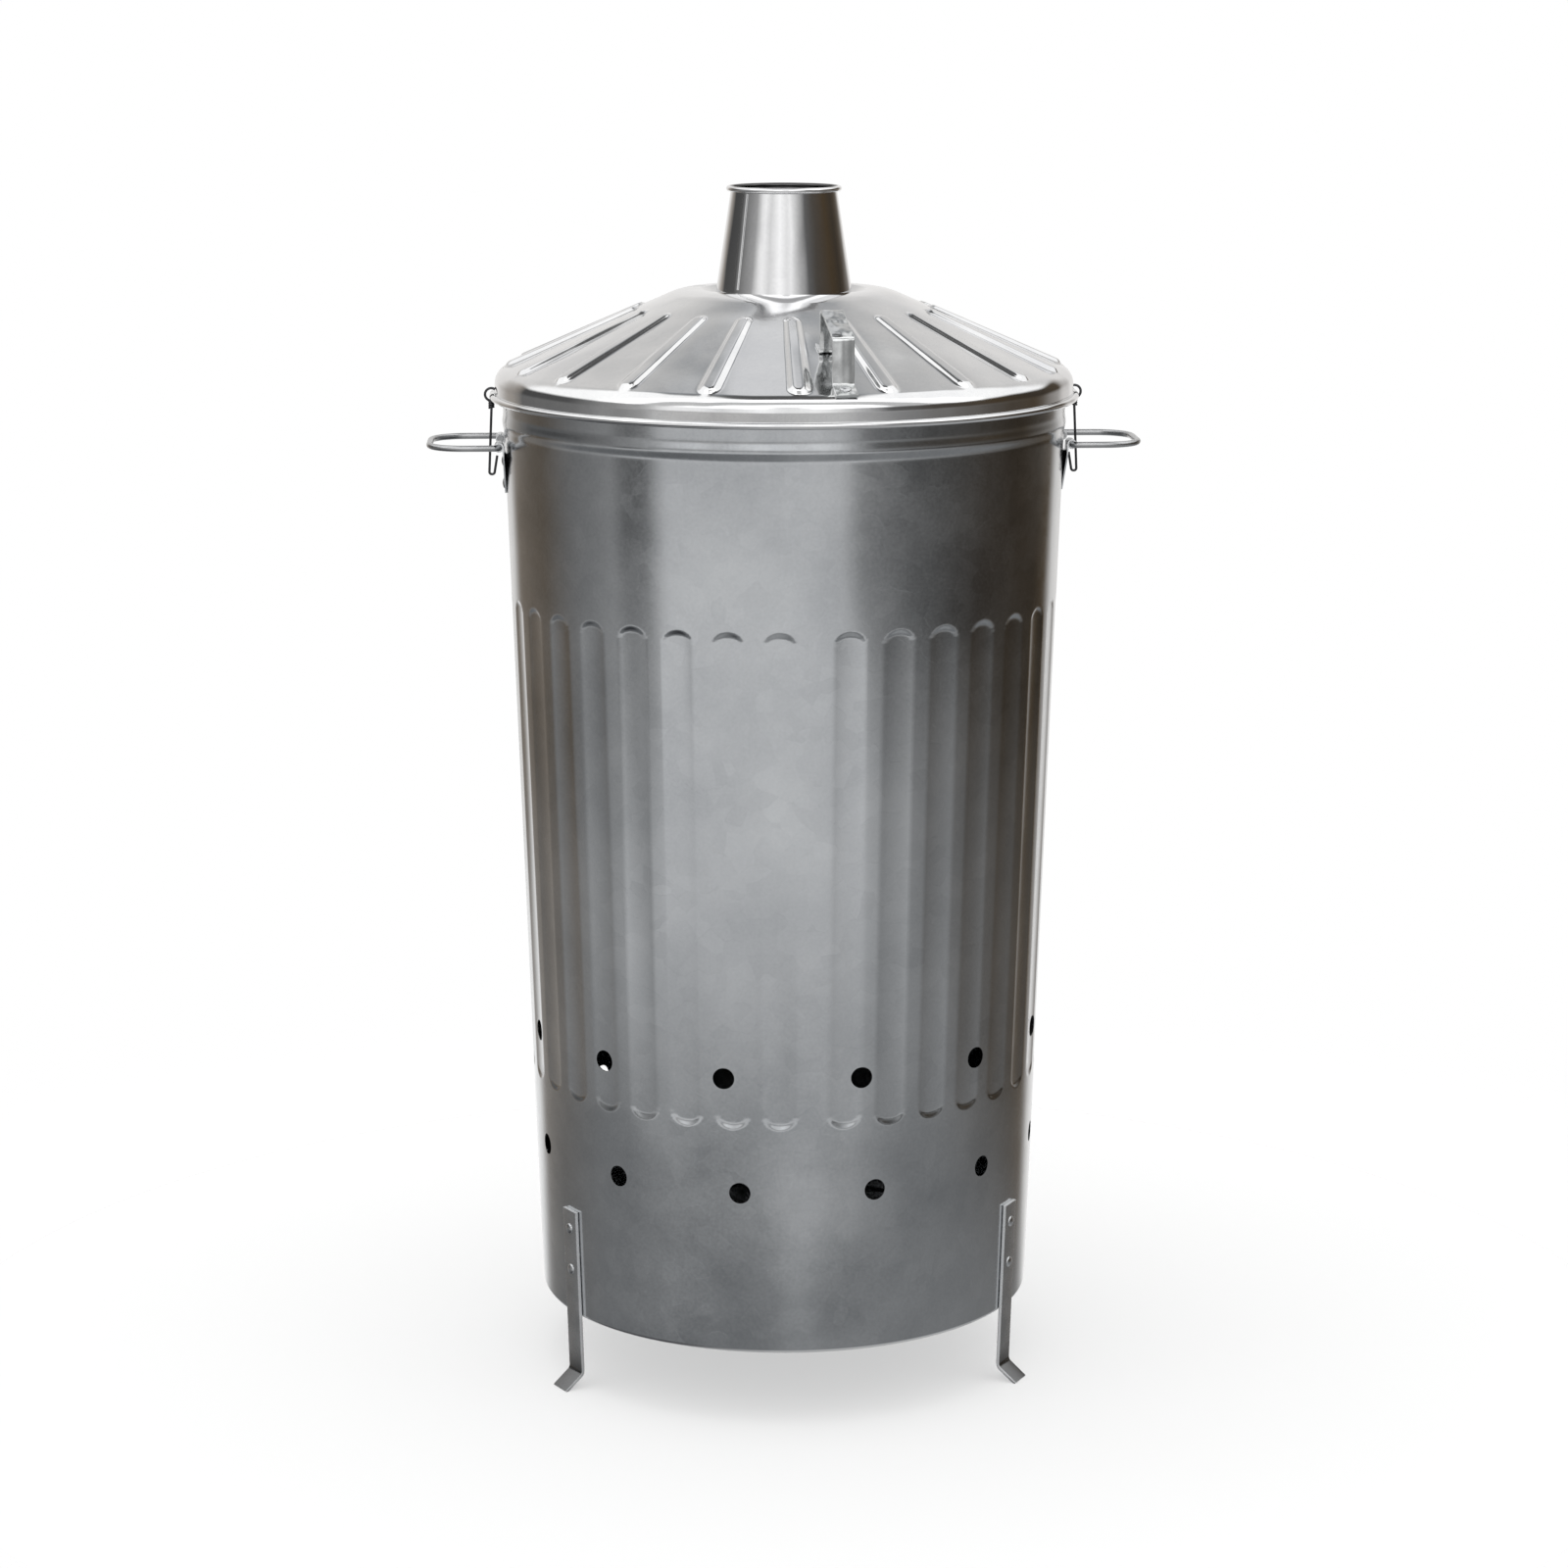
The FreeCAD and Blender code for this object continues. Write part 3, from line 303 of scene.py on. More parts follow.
def make_light_and_shade_masks():
    cut_facing, inside_facing = (0.5, 0.2), (-0.1, -0.4)
    tree, w, given, result = open_look_tree(
        "masks for painted light and shade", {"Level": 0.03, "Fade": 0.02}, "Cut", "Low", "Inside")
    spot = w.add("ShaderNodeTexCoord").outputs
    outward = w.vector("NORMALIZE", w.vector("MULTIPLY", spot["Object"], (1.0, 1.0, 0.0)))
    facing = w.vector("DOT_PRODUCT", outward, spot["Normal"])
    end = w.minus(given["Level"], given["Fade"])
    w.join(w.remap(w.math("ABSOLUTE", facing), *cut_facing), result["Cut"])
    w.join(w.remap(w.parts(spot["Object"])[2], given["Level"], end), result["Low"])
    w.join(w.remap(facing, *inside_facing), result["Inside"])
    return tree


LIGHT_AND_SHADE_MASKS = make_light_and_shade_masks()


def paint_light_and_shade(material, level=0.0, fade=0.001, low_tint=NEAR_BLACK, cut=0.0, darker_inside=0.0):
    """Tints a finish below a level in metres as painted shade or a painted highlight, paints a highlight on
    its cut sides and darkens its inside, by shares.
    """
    w, shader = shader_of(material)
    mask = w.add("ShaderNodeGroup", node_tree=LIGHT_AND_SHADE_MASKS, named={"Level": level, "Fade": fade}).outputs
    colour = shader["Base Color"].links[0].from_socket
    # Each mask mixes in a tint: painted shade or highlight below the level, a painted highlight on cut
    # sides, and a darker inside.
    for label, share, tint in (("Low", LOW_SHARE, low_tint), ("Cut", cut, CUT_SIDE_HIGHLIGHT), ("Inside", darker_inside, NEAR_BLACK)):
        colour = w.mix(w.times(mask[label], share), colour, tint)
    w.join(colour, shader["Base Color"])
    dull = w.times(mask["Cut"], CUT_DULLING * cut)
    w.join(w.math("ADD", shader["Roughness"].links[0].from_socket, dull), shader["Roughness"])


# The bin's bottom fold is tinted near-white: a painted highlight, the pale floor's reflection.
paint_light_and_shade(BODY, level=0.0632, fade=0.0008, low_tint=(0.96, 0.96, 0.96))
# Painted shade: the feet are tinted near-black near the ground. The cut sides get the painted highlight.
paint_light_and_shade(STRAP, level=0.03, fade=0.016, low_tint=(0.07, 0.07, 0.07), cut=0.9)
# The flue is darker inside.
paint_light_and_shade(FLUE, darker_inside=0.92)
print("group:", LIGHT_AND_SHADE_MASKS.name)

# %% [markdown]
# ## From a starting line to a finished piece
#
# Every piece begins as something very small: the half section of a shell, the route of a wire, or the
# places of some rivets. Geometry Nodes grow it, and the result is kept as one plain mesh. The helpers
# below make those starting meshes from millimetres and run the trees over them. What a tree itself is
# given is in metres and radians.

# %% Starting meshes and the piece maker
def line_mesh(name, points, closed=False, **attributes):
    """A chain of points in millimetres, with number or direction attributes on them."""
    mesh = bpy.data.meshes.new(name)
    count = len(points)
    edges = [(i, (i + 1) % count) for i in range(count if closed else count - 1)]
    mesh.from_pydata([Vector(p) * MM for p in points], edges, [])
    for label, values in attributes.items():
        vector = hasattr(values[0], "__len__")
        layer = mesh.attributes.new(label, "FLOAT_VECTOR" if vector else "FLOAT", "POINT")
        for item, value in zip(layer.data, values):
            setattr(item, "vector" if vector else "value", value)
    return mesh


def spot_mesh(name, spots):
    """Places, given as (point in millimetres, direction) pairs."""
    return line_mesh(name, [point for point, _ in spots], stand=[stand for _, stand in spots])


def show(name, data):
    """A new object in the scene."""
    piece = bpy.data.objects.new(name, data)
    bpy.context.scene.collection.objects.link(piece)
    return piece


def places(name, spots):
    """An object that only holds places."""
    return show(name, spot_mesh(name, spots))


def face_outwards(mesh):
    shape = bmesh.new()
    shape.from_mesh(mesh)
    bmesh.ops.recalc_face_normals(shape, faces=shape.faces)
    shape.to_mesh(mesh)
    shape.free()


def grow(name, mesh, trees, finish):
    """Runs geometry trees over a starting mesh and keeps the result as one plain mesh."""
    piece = show(name, mesh)
    for tree, settings in trees:
        modifier = piece.modifiers.new(tree.name, "NODES")
        modifier.node_group = tree
        given = {"Finish": finish, **settings}
        for item in tree.interface.items_tree:
            if item.in_out == "INPUT" and item.name in given:
                modifier[item.identifier] = given[item.name]
    graph = bpy.context.evaluated_depsgraph_get()
    plain = bpy.data.meshes.new_from_object(piece.evaluated_get(graph))
    piece.modifiers.clear()
    piece.data = plain
    face_outwards(plain)
    return piece


def settle(piece, body, slot, *stands_for):
    """Gives a finished piece to its body, and hides the plain solids that it stands for."""
    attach(piece, body)
    if stands_for:
        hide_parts(*stands_for)
    triangles = sum(len(face.vertices) - 2 for face in piece.data.polygons)
    print(piece.name, "rides on", body, "with", triangles, "triangles")


def dress(node, finish):
    """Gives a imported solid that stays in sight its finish."""
    node.data.materials.clear()
    node.data.materials.append(finish)


print("piece helpers ready")

# %% [markdown]
# ## A lathe in Geometry Nodes
#
# The bin, its lid, the flue and the base pan are all shells of revolution. A Screw modifier or a spin in
# mesh code would do. Here a grid is bent round: each row takes its radius and height from one point of
# the section, and each column takes its angle. The grid stays regular, which the pressed flutes need.

# %% The lathe tree
def make_lathe():
    tree, w, given, result = open_shape_tree("lathe", [("Segments", "Int", 720)])
    count = w.geometry("AttributeDomainSize", given["Mesh"], output="Point Count")
    columns = w.math("ADD", given["Segments"], 1.0)
    grid = w.geometry("MeshGrid", 1.0, 1.0, columns, count, output="Mesh")
    index = w.geometry("InputIndex")
    row = w.math("MODULO", index, count)
    column = w.math("FLOOR", w.math("DIVIDE", index, count))
    spot = w.geometry("SampleIndex", given["Mesh"], data_type="FLOAT_VECTOR",
                      named={"Value": w.geometry("InputPosition"), "Index": row})
    radius, _, height = w.parts(spot)
    turn = w.math("DIVIDE", w.times(column, 2 * math.pi), given["Segments"])
    across = w.times(radius, w.math("COSINE", turn))
    deep = w.times(radius, w.math("SINE", turn))
    spun = w.add("ShaderNodeCombineXYZ", across, deep, height).outputs[0]
    bent_round = w.geometry("SetPosition", grid, named={"Position": spun})
    closed = w.geometry("MergeByDistance", bent_round, named={"Distance": MERGE})
    close_shape_tree(w, closed, given, result)
    return tree


LATHE = make_lathe()
print("tree:", LATHE.name)

# %% [markdown]
# ## Pressing bars into a shell
#
# Flutes and ribs are the same operation: a round-ended bar pressed into the sheet at even angles, inwards
# on the wall and upwards on the lid. They could be modelled once and copied, but then every edge would
# need blending into the sheet. A field does it directly: each point finds its nearest bar, measures how
# far it is from the bar's middle line, and moves by a hump of that distance. The hump is flat on top with
# smooth flanks for a rib. For a flute it is a shallow dish across, with a short steep arch at each end.

# %% The pressing tree
def make_press():
    tree, w, given, result = open_shape_tree("press bars", floats({
        "First": 0.0, "Sector": math.pi, "Lead": 0.1, "Pitch": 0.2, "Last": 16.0, "Radial": 0.0,
        "Low": 0.2, "High": 0.6, "Half Width": 0.011, "Flat": 0.0, "Dish": 0.0, "End": 0.005,
        "Taper": 0.0, "Depth": -0.003, "Lean": math.pi / 2}))
    x, y, z = w.parts(w.geometry("InputPosition"))
    radius = w.diagonal(x, y)
    azimuth = w.math("ARCTAN2", x, w.times(y, -1.0))
    ahead = w.minus(given["Sector"], given["Lead"])
    behind = w.times(given["Lead"], -1.0)
    turn = w.math("WRAP", w.minus(azimuth, given["First"]), ahead, behind)
    nearest = w.math("ROUND", w.math("DIVIDE", turn, given["Pitch"]))
    nearest = w.math("MINIMUM", w.math("MAXIMUM", nearest, 0.0), given["Last"])
    aside = w.times(radius, w.minus(turn, w.times(nearest, given["Pitch"])))
    along = w.mix(given["Radial"], z, radius, "FLOAT")
    past = w.math("MAXIMUM", w.minus(given["Low"], along), w.minus(along, given["High"]))
    away = w.diagonal(aside, w.math("MAXIMUM", past, 0.0))
    full = w.remap(along, given["Low"], given["High"], w.minus(1.0, given["Taper"]), 1.0)
    reach = w.times(given["Half Width"], full)
    flanks = w.remap(w.math("DIVIDE", away, reach), given["Flat"], 1.0, 1.0, 0.0, smooth=True)
    bowl = w.minus(1.0, w.math("POWER", w.math("DIVIDE", aside, reach), 2.0))
    rise = w.remap(away, w.minus(reach, given["End"]), reach)
    arch = w.minus(1.0, w.math("POWER", rise, 2.0))
    dish = w.math("MAXIMUM", w.math("MINIMUM", bowl, arch), 0.0)
    hump = w.mix(given["Dish"], flanks, dish, "FLOAT")
    push = w.times(w.times(hump, full), given["Depth"])
    outward = w.times(push, w.math("SINE", given["Lean"]))
    upward = w.times(push, w.math("COSINE", given["Lean"]))
    forward = w.times(w.math("COSINE", azimuth), -1.0)
    shift = w.add("ShaderNodeCombineXYZ", w.times(outward, w.math("SINE", azimuth)),
                  w.times(outward, forward), upward).outputs[0]
    pressed = w.geometry("SetPosition", given["Mesh"], named={"Offset": shift})
    close_shape_tree(w, pressed, given, result)
    return tree


PRESS = make_press()
print("tree:", PRESS.name)

# %% [markdown]
# ## Punching holes
#
# The air holes are plain punched circles. Instead of cutting them into the section by hand, a short
# cylinder is set at each hole's place, standing along the direction stored with it, and one boolean
# takes them all out of the shell.

# %% The punching tree
def stand_copies(w, spots, shape):
    """Copies of a shape at every place, each standing along the direction that is stored there."""
    points = w.geometry("MeshToPoints", spots)
    stand = w.geometry("InputNamedAttribute", "stand", data_type="FLOAT_VECTOR")
    turn = w.add("FunctionNodeAlignRotationToVector", named={"Vector": stand}, axis="Z").outputs[0]
    return w.geometry("InstanceOnPoints", points, named={"Instance": shape, "Rotation": turn})


def make_punch():
    tree, w, given, result = open_shape_tree(
        "punch holes", [("Places", "Object", None)] + floats({"Bore": 0.017, "Reach": 0.02}))
    spots = w.geometry("ObjectInfo", given["Places"], output="Geometry")
    drill = w.geometry("MeshCylinder", named={
        "Vertices": 40, "Radius": w.times(given["Bore"], 0.5), "Depth": given["Reach"]})
    drills = w.geometry("RealizeInstances", stand_copies(w, spots, drill))
    cut = w.geometry("MeshBoolean", operation="DIFFERENCE", solver="EXACT",
                     named={"Mesh 1": given["Mesh"], "Mesh 2": drills})
    close_shape_tree(w, cut, given, result)
    return tree


PUNCH = make_punch()
print("tree:", PUNCH.name)

# %% [markdown]
# ## Bending strip and wire
#
# Legs, handles, clips and the lid's bridge are strip or wire bent at a few corners. A curve object with a
# bevel would work, but the corner radii are the point of such a piece. So the route is a few straight
# runs with a bend radius stored at each corner. The tree rounds the corners and sweeps the section.

# %% The bending tree
def make_bend():
    tree, w, given, result = open_shape_tree(
        "bend stock", floats({"Width": 0.0, "Thick": 0.005, "Edge": 0.0005}) + [("Round", "Bool", True)])
    route = w.geometry("MeshToCurve", given["Mesh"])
    bends = w.geometry("InputNamedAttribute", "bend", data_type="FLOAT")
    route = w.geometry("FilletCurve", route, mode="POLY",
                       named={"Count": 10, "Radius": bends, "Limit Radius": True})
    ring = w.geometry("CurvePrimitiveCircle", named={
        "Resolution": 20, "Radius": w.times(given["Thick"], 0.5)})
    flat = w.geometry("CurvePrimitiveQuadrilateral", given["Width"], given["Thick"])
    flat = w.geometry("FilletCurve", flat, mode="POLY", named={"Count": 4, "Radius": given["Edge"]})
    section = w.geometry("Switch", given["Round"], flat, ring, input_type="GEOMETRY")
    swept = w.geometry("CurveToMesh", route, section, named={"Fill Caps": True})
    close_shape_tree(w, swept, given, result)
    return tree


BEND = make_bend()


def bent(name, corners, finish, closed=False, **stock):
    """A piece of strip or wire along corners (x, y, z, bend radius) in millimetres."""
    route = line_mesh(name, [corner[:3] for corner in corners], closed,
                      bend=[(corner[3] if len(corner) > 3 else 0.0) * MM for corner in corners])
    return grow(name, route, [(BEND, stock)], finish)


print("tree:", BEND.name)

# %% [markdown]
# ## Sizes that the pieces share
#
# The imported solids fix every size, and these are the few that the shells are drawn from, in millimetres:
# the wall's taper, the lid's slope and where its edge hangs. Azimuth 0 is the front, and 90 degrees is
# the right.

# %% Shared sizes
BOTTOM, RIM, SHEET = 60.0, 817.0, 0.8
BASE_R, WIDENING, HEM_R = 201.0, 24.8, 226.8
TAPER = WIDENING / (RIM - BOTTOM)
SLANT = math.atan(TAPER)
SLOPE = math.radians(23.8)
LID_PLAY = 0.3
SKIRT_R, SKIRT_END = 231.2, 801.0
BEAD_R, BEAD_Z, BEAD = 233.0, 797.6, 2.6
SEAT, CROWN = 876.6, 881.6
SEAT_PLAY = 0.05
AIR_HOLE = 17.0


def wall(z):
    """Outer radius of the plain wall at a height above the ground."""
    return BASE_R + TAPER * (z - BOTTOM)


def lid_under(r):
    """Height of the lid's lower face on its cone."""
    return RIM + LID_PLAY + (HEM_R - r) * math.tan(SLOPE)


def lid_top(r):
    """Height of the lid's upper face on its cone."""
    return lid_under(r) + SHEET / math.cos(SLOPE)


def around(r, z, azimuth):
    """A point at a radius, a height and an azimuth in degrees."""
    turn = math.radians(azimuth)
    return Vector((r * math.sin(turn), -r * math.cos(turn), z))


def steps(start, end, count):
    """Even steps from a start, without the end."""
    return [start + (end - start) * i / count for i in range(count)]


def rows(*stops):
    """Values through stops, each given with the number of steps to the next."""
    values = []
    for (start, count), (end, _) in zip(stops, stops[1:]):
        values += steps(start, end, count)
    return values


def rolled(r, z, radius, start, end, count):
    """Points round a rolled edge about a centre, between two angles in degrees."""
    angles = [math.radians(start + (end - start) * k / count) for k in range(count + 1)]
    return [Vector((r + radius * math.cos(a), z + radius * math.sin(a))) for a in angles]


def rounded(corners, count=6):
    """Points along straight runs through corners (r, z, bend), with the bends as arcs.

    One more point beside each end of an arc keeps the straight runs flat when they are shaded smooth."""
    beside, share = 0.4, 0.04
    points = []
    for i, (r, z, *bend) in enumerate(corners):
        here = Vector((r, z))
        if not bend or i in (0, len(corners) - 1):
            points.append(here)
            continue
        before, after = (Vector(corners[k][:2]) - here for k in (i - 1, i + 1))
        back, ahead = before.normalized(), after.normalized()
        half = back.angle(ahead) / 2
        reach = bend[0] / math.tan(half)
        centre = here + (back + ahead).normalized() * bend[0] / math.sin(half)
        first = here + back * reach - centre
        sweep = first.angle_signed(here + ahead * reach - centre)
        points.append(here + back * (reach + min(beside, before.length * share)))
        for k in range(count + 1):
            points.append(centre + Matrix.Rotation(-sweep * k / count, 2) @ first)
        points.append(here + ahead * (reach + min(beside, after.length * share)))
    return points


def turned(name, points, segments, finish, *more):
    """A shell turned from the points (r, z) of its section, then changed by more trees."""
    section = line_mesh(name, [(p[0], 0.0, p[1]) for p in points])
    return grow(name, section, [(LATHE, {"Segments": segments}), *more], finish)


print("wall radius at the rim:", round(wall(RIM), 1), "lid crown at", round(lid_top(83.0), 1))

# %% [markdown]
# ## The body
#
# The wall is one sheet: turned in at the bottom to carry the base, swaged once below the rim to stiffen
# it, and folded over at the top. Its section is drawn as a thin closed loop, up the outside and down the
# inside. Rows are close together where the flutes end and at the swage, and far apart elsewhere.

# %% Body section
SWAGE_Z, SWAGE_HALF, SWAGE_RISE = 777.0, 8.0, 1.0


def swage(z):
    """How far the rounded bead below the rim stands out."""
    away = min(abs(z - SWAGE_Z) / SWAGE_HALF, 1.0)
    return SWAGE_RISE * (0.5 + 0.5 * math.cos(math.pi * away))


def body_section():
    lip_end, edge_top, fold_z, hem_inside, hem_bottom = 190.0, 66.0, 808.0, 225.0, 812.0
    floor = BOTTOM + SHEET
    outer = rows((edge_top, 6), (244, 14), (259, 9), (626, 14), (641, 3), (767, 12), (787, 2), (fold_z, 0))
    inner = rows((hem_bottom, 2), (787, 5), (767, 2), (641, 4), (626, 6), (259, 4), (244, 4), (edge_top, 0))
    edge = rounded([(lip_end, BOTTOM), (BASE_R, BOTTOM, 3.0), (wall(edge_top), edge_top)], 5)[:-1]
    fold = rounded([(wall(fold_z), fold_z), (HEM_R, fold_z + 1.0, 0.6),
                    (HEM_R, RIM, 0.9), (hem_inside, RIM, 0.7), (hem_inside - 0.1, hem_bottom)], 4)[:-1]
    lip = rounded([(wall(edge_top) - SHEET, edge_top), (BASE_R - SHEET, floor, 2.2), (lip_end, floor)], 5)
    points = edge + [Vector((wall(z) + swage(z), z)) for z in outer] + fold
    points += [Vector((wall(z) + swage(z) - SHEET, z)) for z in inner] + lip
    return points + [points[0]]


body_points = body_section()
print("points in the body's section:", len(body_points))

# %% [markdown]
# The wall carries two groups of flutes with a plain gap at the front and the back, then two rings of air
# holes. The trees run in that order: turn the sheet, press it, punch it.

# %% Body
HOLES_PER_RING = 12
HOLE_RINGS = ((286.0, 13.9), (193.0, 17.3))


def square_to_wall(azimuth):
    return around(1.0, -TAPER, azimuth).normalized()


def wall_holes():
    """Places of the air holes: each ring has a height and the azimuth of its first hole."""
    spots = []
    for height, first in HOLE_RINGS:
        for k in range(HOLES_PER_RING):
            azimuth = first + 360.0 / HOLES_PER_RING * k
            spots.append((around(wall(height), height, azimuth), square_to_wall(azimuth)))
    return spots


air_holes = places("air_hole_places", wall_holes())
flutes = {
    "First": math.radians(10.2), "Sector": math.pi, "Lead": math.radians(7.0),
    "Pitch": math.radians(10.375), "Last": 16.0, "Radial": 0.0, "Low": 0.2585, "High": 0.6265,
    "Half Width": 0.0128, "Dish": 1.0, "End": 0.0045, "Depth": -0.0011, "Lean": math.pi / 2 + SLANT}
body = turned("bin_wall", body_points, 720, BODY, (PRESS, flutes),
              (PUNCH, {"Places": air_holes, "Bore": AIR_HOLE * MM}))
settle(body, "bin", "galvanised_sheet", "body_shell")

# %% [markdown]
# ## The base pan
#
# Ash would fall straight through the turned-in edge, so a shallow upside-down dish stands on it inside,
# with a ring of holes for air from below. It is the same lathe and the same punch.

# %% Base pan
PAN_TOP, PAN_SIDE, PAN_HOLE_CIRCLE, PAN_HOLES = 72.8, 197.7, 115.0, 8


def pan_section():
    foot, inside, ceiling = BOTTOM + SHEET, PAN_SIDE - SHEET, PAN_TOP - SHEET
    under = rounded([(0.0, ceiling), (inside, ceiling, 2.2), (inside, foot)])
    over = rounded([(PAN_SIDE, foot), (PAN_SIDE, PAN_TOP, 3.0), (0.0, PAN_TOP)])
    return under + over


pan_holes = places("pan_hole_places", [
    (around(PAN_HOLE_CIRCLE, PAN_TOP, 360.0 / PAN_HOLES * k), (0.0, 0.0, 1.0)) for k in range(PAN_HOLES)])
pan = turned("base_dish", pan_section(), 180, BODY, (PUNCH, {"Places": pan_holes, "Bore": AIR_HOLE * MM}))
settle(pan, "bin", "galvanised_sheet", "base_pan")

# %% [markdown]
# ## The lid
#
# The lid is a shallow cone with a dished seat for the flue and a skirt that hangs outside the bin. The
# skirt's edge is rolled round a wire, which shows as a bright round bead. Twenty ribs are pressed upwards,
# and two small holes in the skirt take the clips. Rows are close together where the ribs begin and end.

# %% Lid
def lid_section():
    hole, seat_edge, crown_edge, crown_end, cone, shoulder = 52.3, 59.0, 66.0, 83.0, 102.0, 222.0
    within, under_crown, under_seat = SKIRT_R - SHEET, CROWN - SHEET, SEAT - SHEET
    top = rounded([(hole, SEAT), (seat_edge, SEAT, 2.5), (crown_edge, CROWN, 2.5), (crown_end, CROWN, 50.0),
                   (cone, lid_top(cone))], 5)[:-1]
    top += [Vector((r, lid_top(r))) for r in rows((cone, 12), (124, 5), (204, 12), (shoulder, 0))]
    top += rounded([(shoulder - 2.0, lid_top(shoulder - 2.0)), (SKIRT_R, lid_top(SKIRT_R), 14.0),
                    (SKIRT_R, SKIRT_END)])[1:]
    bead = rolled(BEAD_R, BEAD_Z, BEAD, 133.8, -180.0, 14)
    inside = rounded([(within, SKIRT_END), (within, lid_under(within), 11.2),
                      (shoulder, lid_under(shoulder))])
    inside += [Vector((r, lid_under(r))) for r in rows((221, 5), (204, 3), (124, 6), (cone, 0))]
    inside += rounded([(cone, lid_under(cone)), (crown_end - 0.2, under_crown, 49.2),
                       (crown_edge + 0.4, under_crown, 2.5), (seat_edge + 0.4, under_seat, 2.5),
                       (hole, under_seat)], 3)
    points = top + bead + inside
    return points + [points[0]]


RIB_PITCH = math.radians(18.0)
CLIP_HOLE_RISE = 4.025
ribs = {
    "First": 0.0, "Sector": RIB_PITCH, "Lead": RIB_PITCH / 2, "Pitch": RIB_PITCH, "Last": 0.0,
    "Radial": 1.0, "Low": 0.122, "High": 0.2147, "Half Width": 0.0092, "Flat": 0.46, "Taper": 0.24,
    "Depth": 0.003, "Lean": SLOPE}
clip_holes = places("clip_hole_places", [
    (around(SKIRT_R, BEAD_Z + CLIP_HOLE_RISE, side), around(1.0, 0.0, side)) for side in (-90.0, 90.0)])
lid = turned("lid_cone", lid_section(), 800, LID, (PRESS, ribs),
             (PUNCH, {"Places": clip_holes, "Bore": 0.004, "Reach": 0.012}))
settle(lid, "lid", "bright_sheet", "lid_shell")

# %% [markdown]
# ## The flue
#
# A short tapered tube, rolled over at the mouth. Its neck goes through the lid and turns out underneath.
# The folded seam up its side is a strip laid on the cone, because a seam is exactly that.

# %% Flue
SEAM_AZIMUTH = -48.0


def flue_section():
    height, bead, bead_r = 86.0, 2.2, 43.7
    neck, foot, flange, sheet_top = 52.0, 54.55, 57.0, SEAT_PLAY + SHEET
    mouth = SEAT + height - bead
    outer = rounded([(neck, SEAT + SEAT_PLAY), (foot, SEAT + SEAT_PLAY, 0.5), (42.52, mouth - 3.5),
                     (42.3, mouth - 2.0)], 4)
    inner = [(41.5, mouth - 2.0), (53.0, SEAT + 6.0), (53.6, SEAT + 1.0), (neck - SHEET, SEAT + sheet_top)]
    under = [(neck - SHEET, SEAT - sheet_top - SHEET), (flange, SEAT - sheet_top - SHEET),
             (flange, SEAT - sheet_top), (neck, SEAT - sheet_top)]
    points = outer + rolled(bead_r, mouth, bead, -123.0, 215.0, 12) + [Vector(p) for p in inner + under]
    return points + [points[0]]


flue = turned("flue_tube", flue_section(), 160, FLUE)
settle(flue, "lid", "bright_sheet", "chimney")
seam_ends = [tuple(around(r, SEAT + rise, SEAM_AZIMUTH)) for r, rise in ((54.0, 6.5), (42.9, 81.0))]
seam = bent("flue_seam", seam_ends, FLUE, Round=False, Width=0.0048, Thick=0.0012, Edge=0.0004)
settle(seam, "lid", "bright_sheet")

# %% [markdown]
# ## Legs
#
# Each leg is a strip laid down the wall and kicked outwards at the foot. After bending, the foot is cut
# level with the ground so that it stands flat.

# %% Legs
LEGS = {"leg_front_left": -60.0, "leg_front_right": 60.0, "leg_rear": 180.0}
LEG_TOP, LEG_FOOT, FOOT_SLOPE = 150.0, 20.0, math.radians(38.0)


def stand_flat(mesh):
    """Cuts a mesh off at the ground and closes the cut."""
    shape = bmesh.new()
    shape.from_mesh(mesh)
    whole = shape.verts[:] + shape.edges[:] + shape.faces[:]
    cut = bmesh.ops.bisect_plane(shape, geom=whole, plane_co=(0, 0, 0), plane_no=(0, 0, 1), clear_inner=True)
    edges = [item for item in cut["geom_cut"] if isinstance(item, bmesh.types.BMEdge)]
    bmesh.ops.contextual_create(shape, geom=edges)
    shape.to_mesh(mesh)
    shape.free()


def make_leg(name, azimuth):
    off_wall = 1.55
    bend_z = LEG_FOOT * math.sin(FOOT_SLOPE)
    foot_r = wall(bend_z) + off_wall + LEG_FOOT * math.cos(FOOT_SLOPE)
    corners = [(*around(wall(LEG_TOP) + off_wall, LEG_TOP, azimuth), 0.0),
               (*around(wall(bend_z) + off_wall, bend_z, azimuth), 6.0),
               (*around(foot_r, 0.0, azimuth), 0.0)]
    leg = bent(f"{name}_strip", corners, STRAP, Round=False, Width=0.02, Thick=0.003, Edge=0.0006)
    stand_flat(leg.data)
    settle(leg, "bin", "zinc_strap", name)


for leg_name, leg_azimuth in LEGS.items():
    make_leg(leg_name, leg_azimuth)

# %% [markdown]
# ## Side handles and their ears
#
# A bent wire loop hangs in two rolled knuckles of a tapered plate. The loop is wire, so it is swept. The
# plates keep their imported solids, with their edges softened by a small bevel.

# %% Side handles
SIDES = (("left", -1.0), ("right", 1.0))


def make_handle(side, sign):
    pivot = Vector((227.781, 0.0, 759.876))
    end, half, reach, elbow, corner = 21.0, 43.5, 55.5, 4.2, 28.0
    route = [(0, -end, 0), (0, -half, elbow), (reach, -half, corner),
             (reach, half, corner), (0, half, elbow), (0, end, 0)]
    corners = [(sign * (pivot.x + x), sign * y, pivot.z, bend) for x, y, bend in route]
    loop = bent(f"handle_loop_{side}", corners, WIRE, Thick=0.005)
    settle(loop, f"handle_{side}", "handle_wire", f"side_handle_{side}")


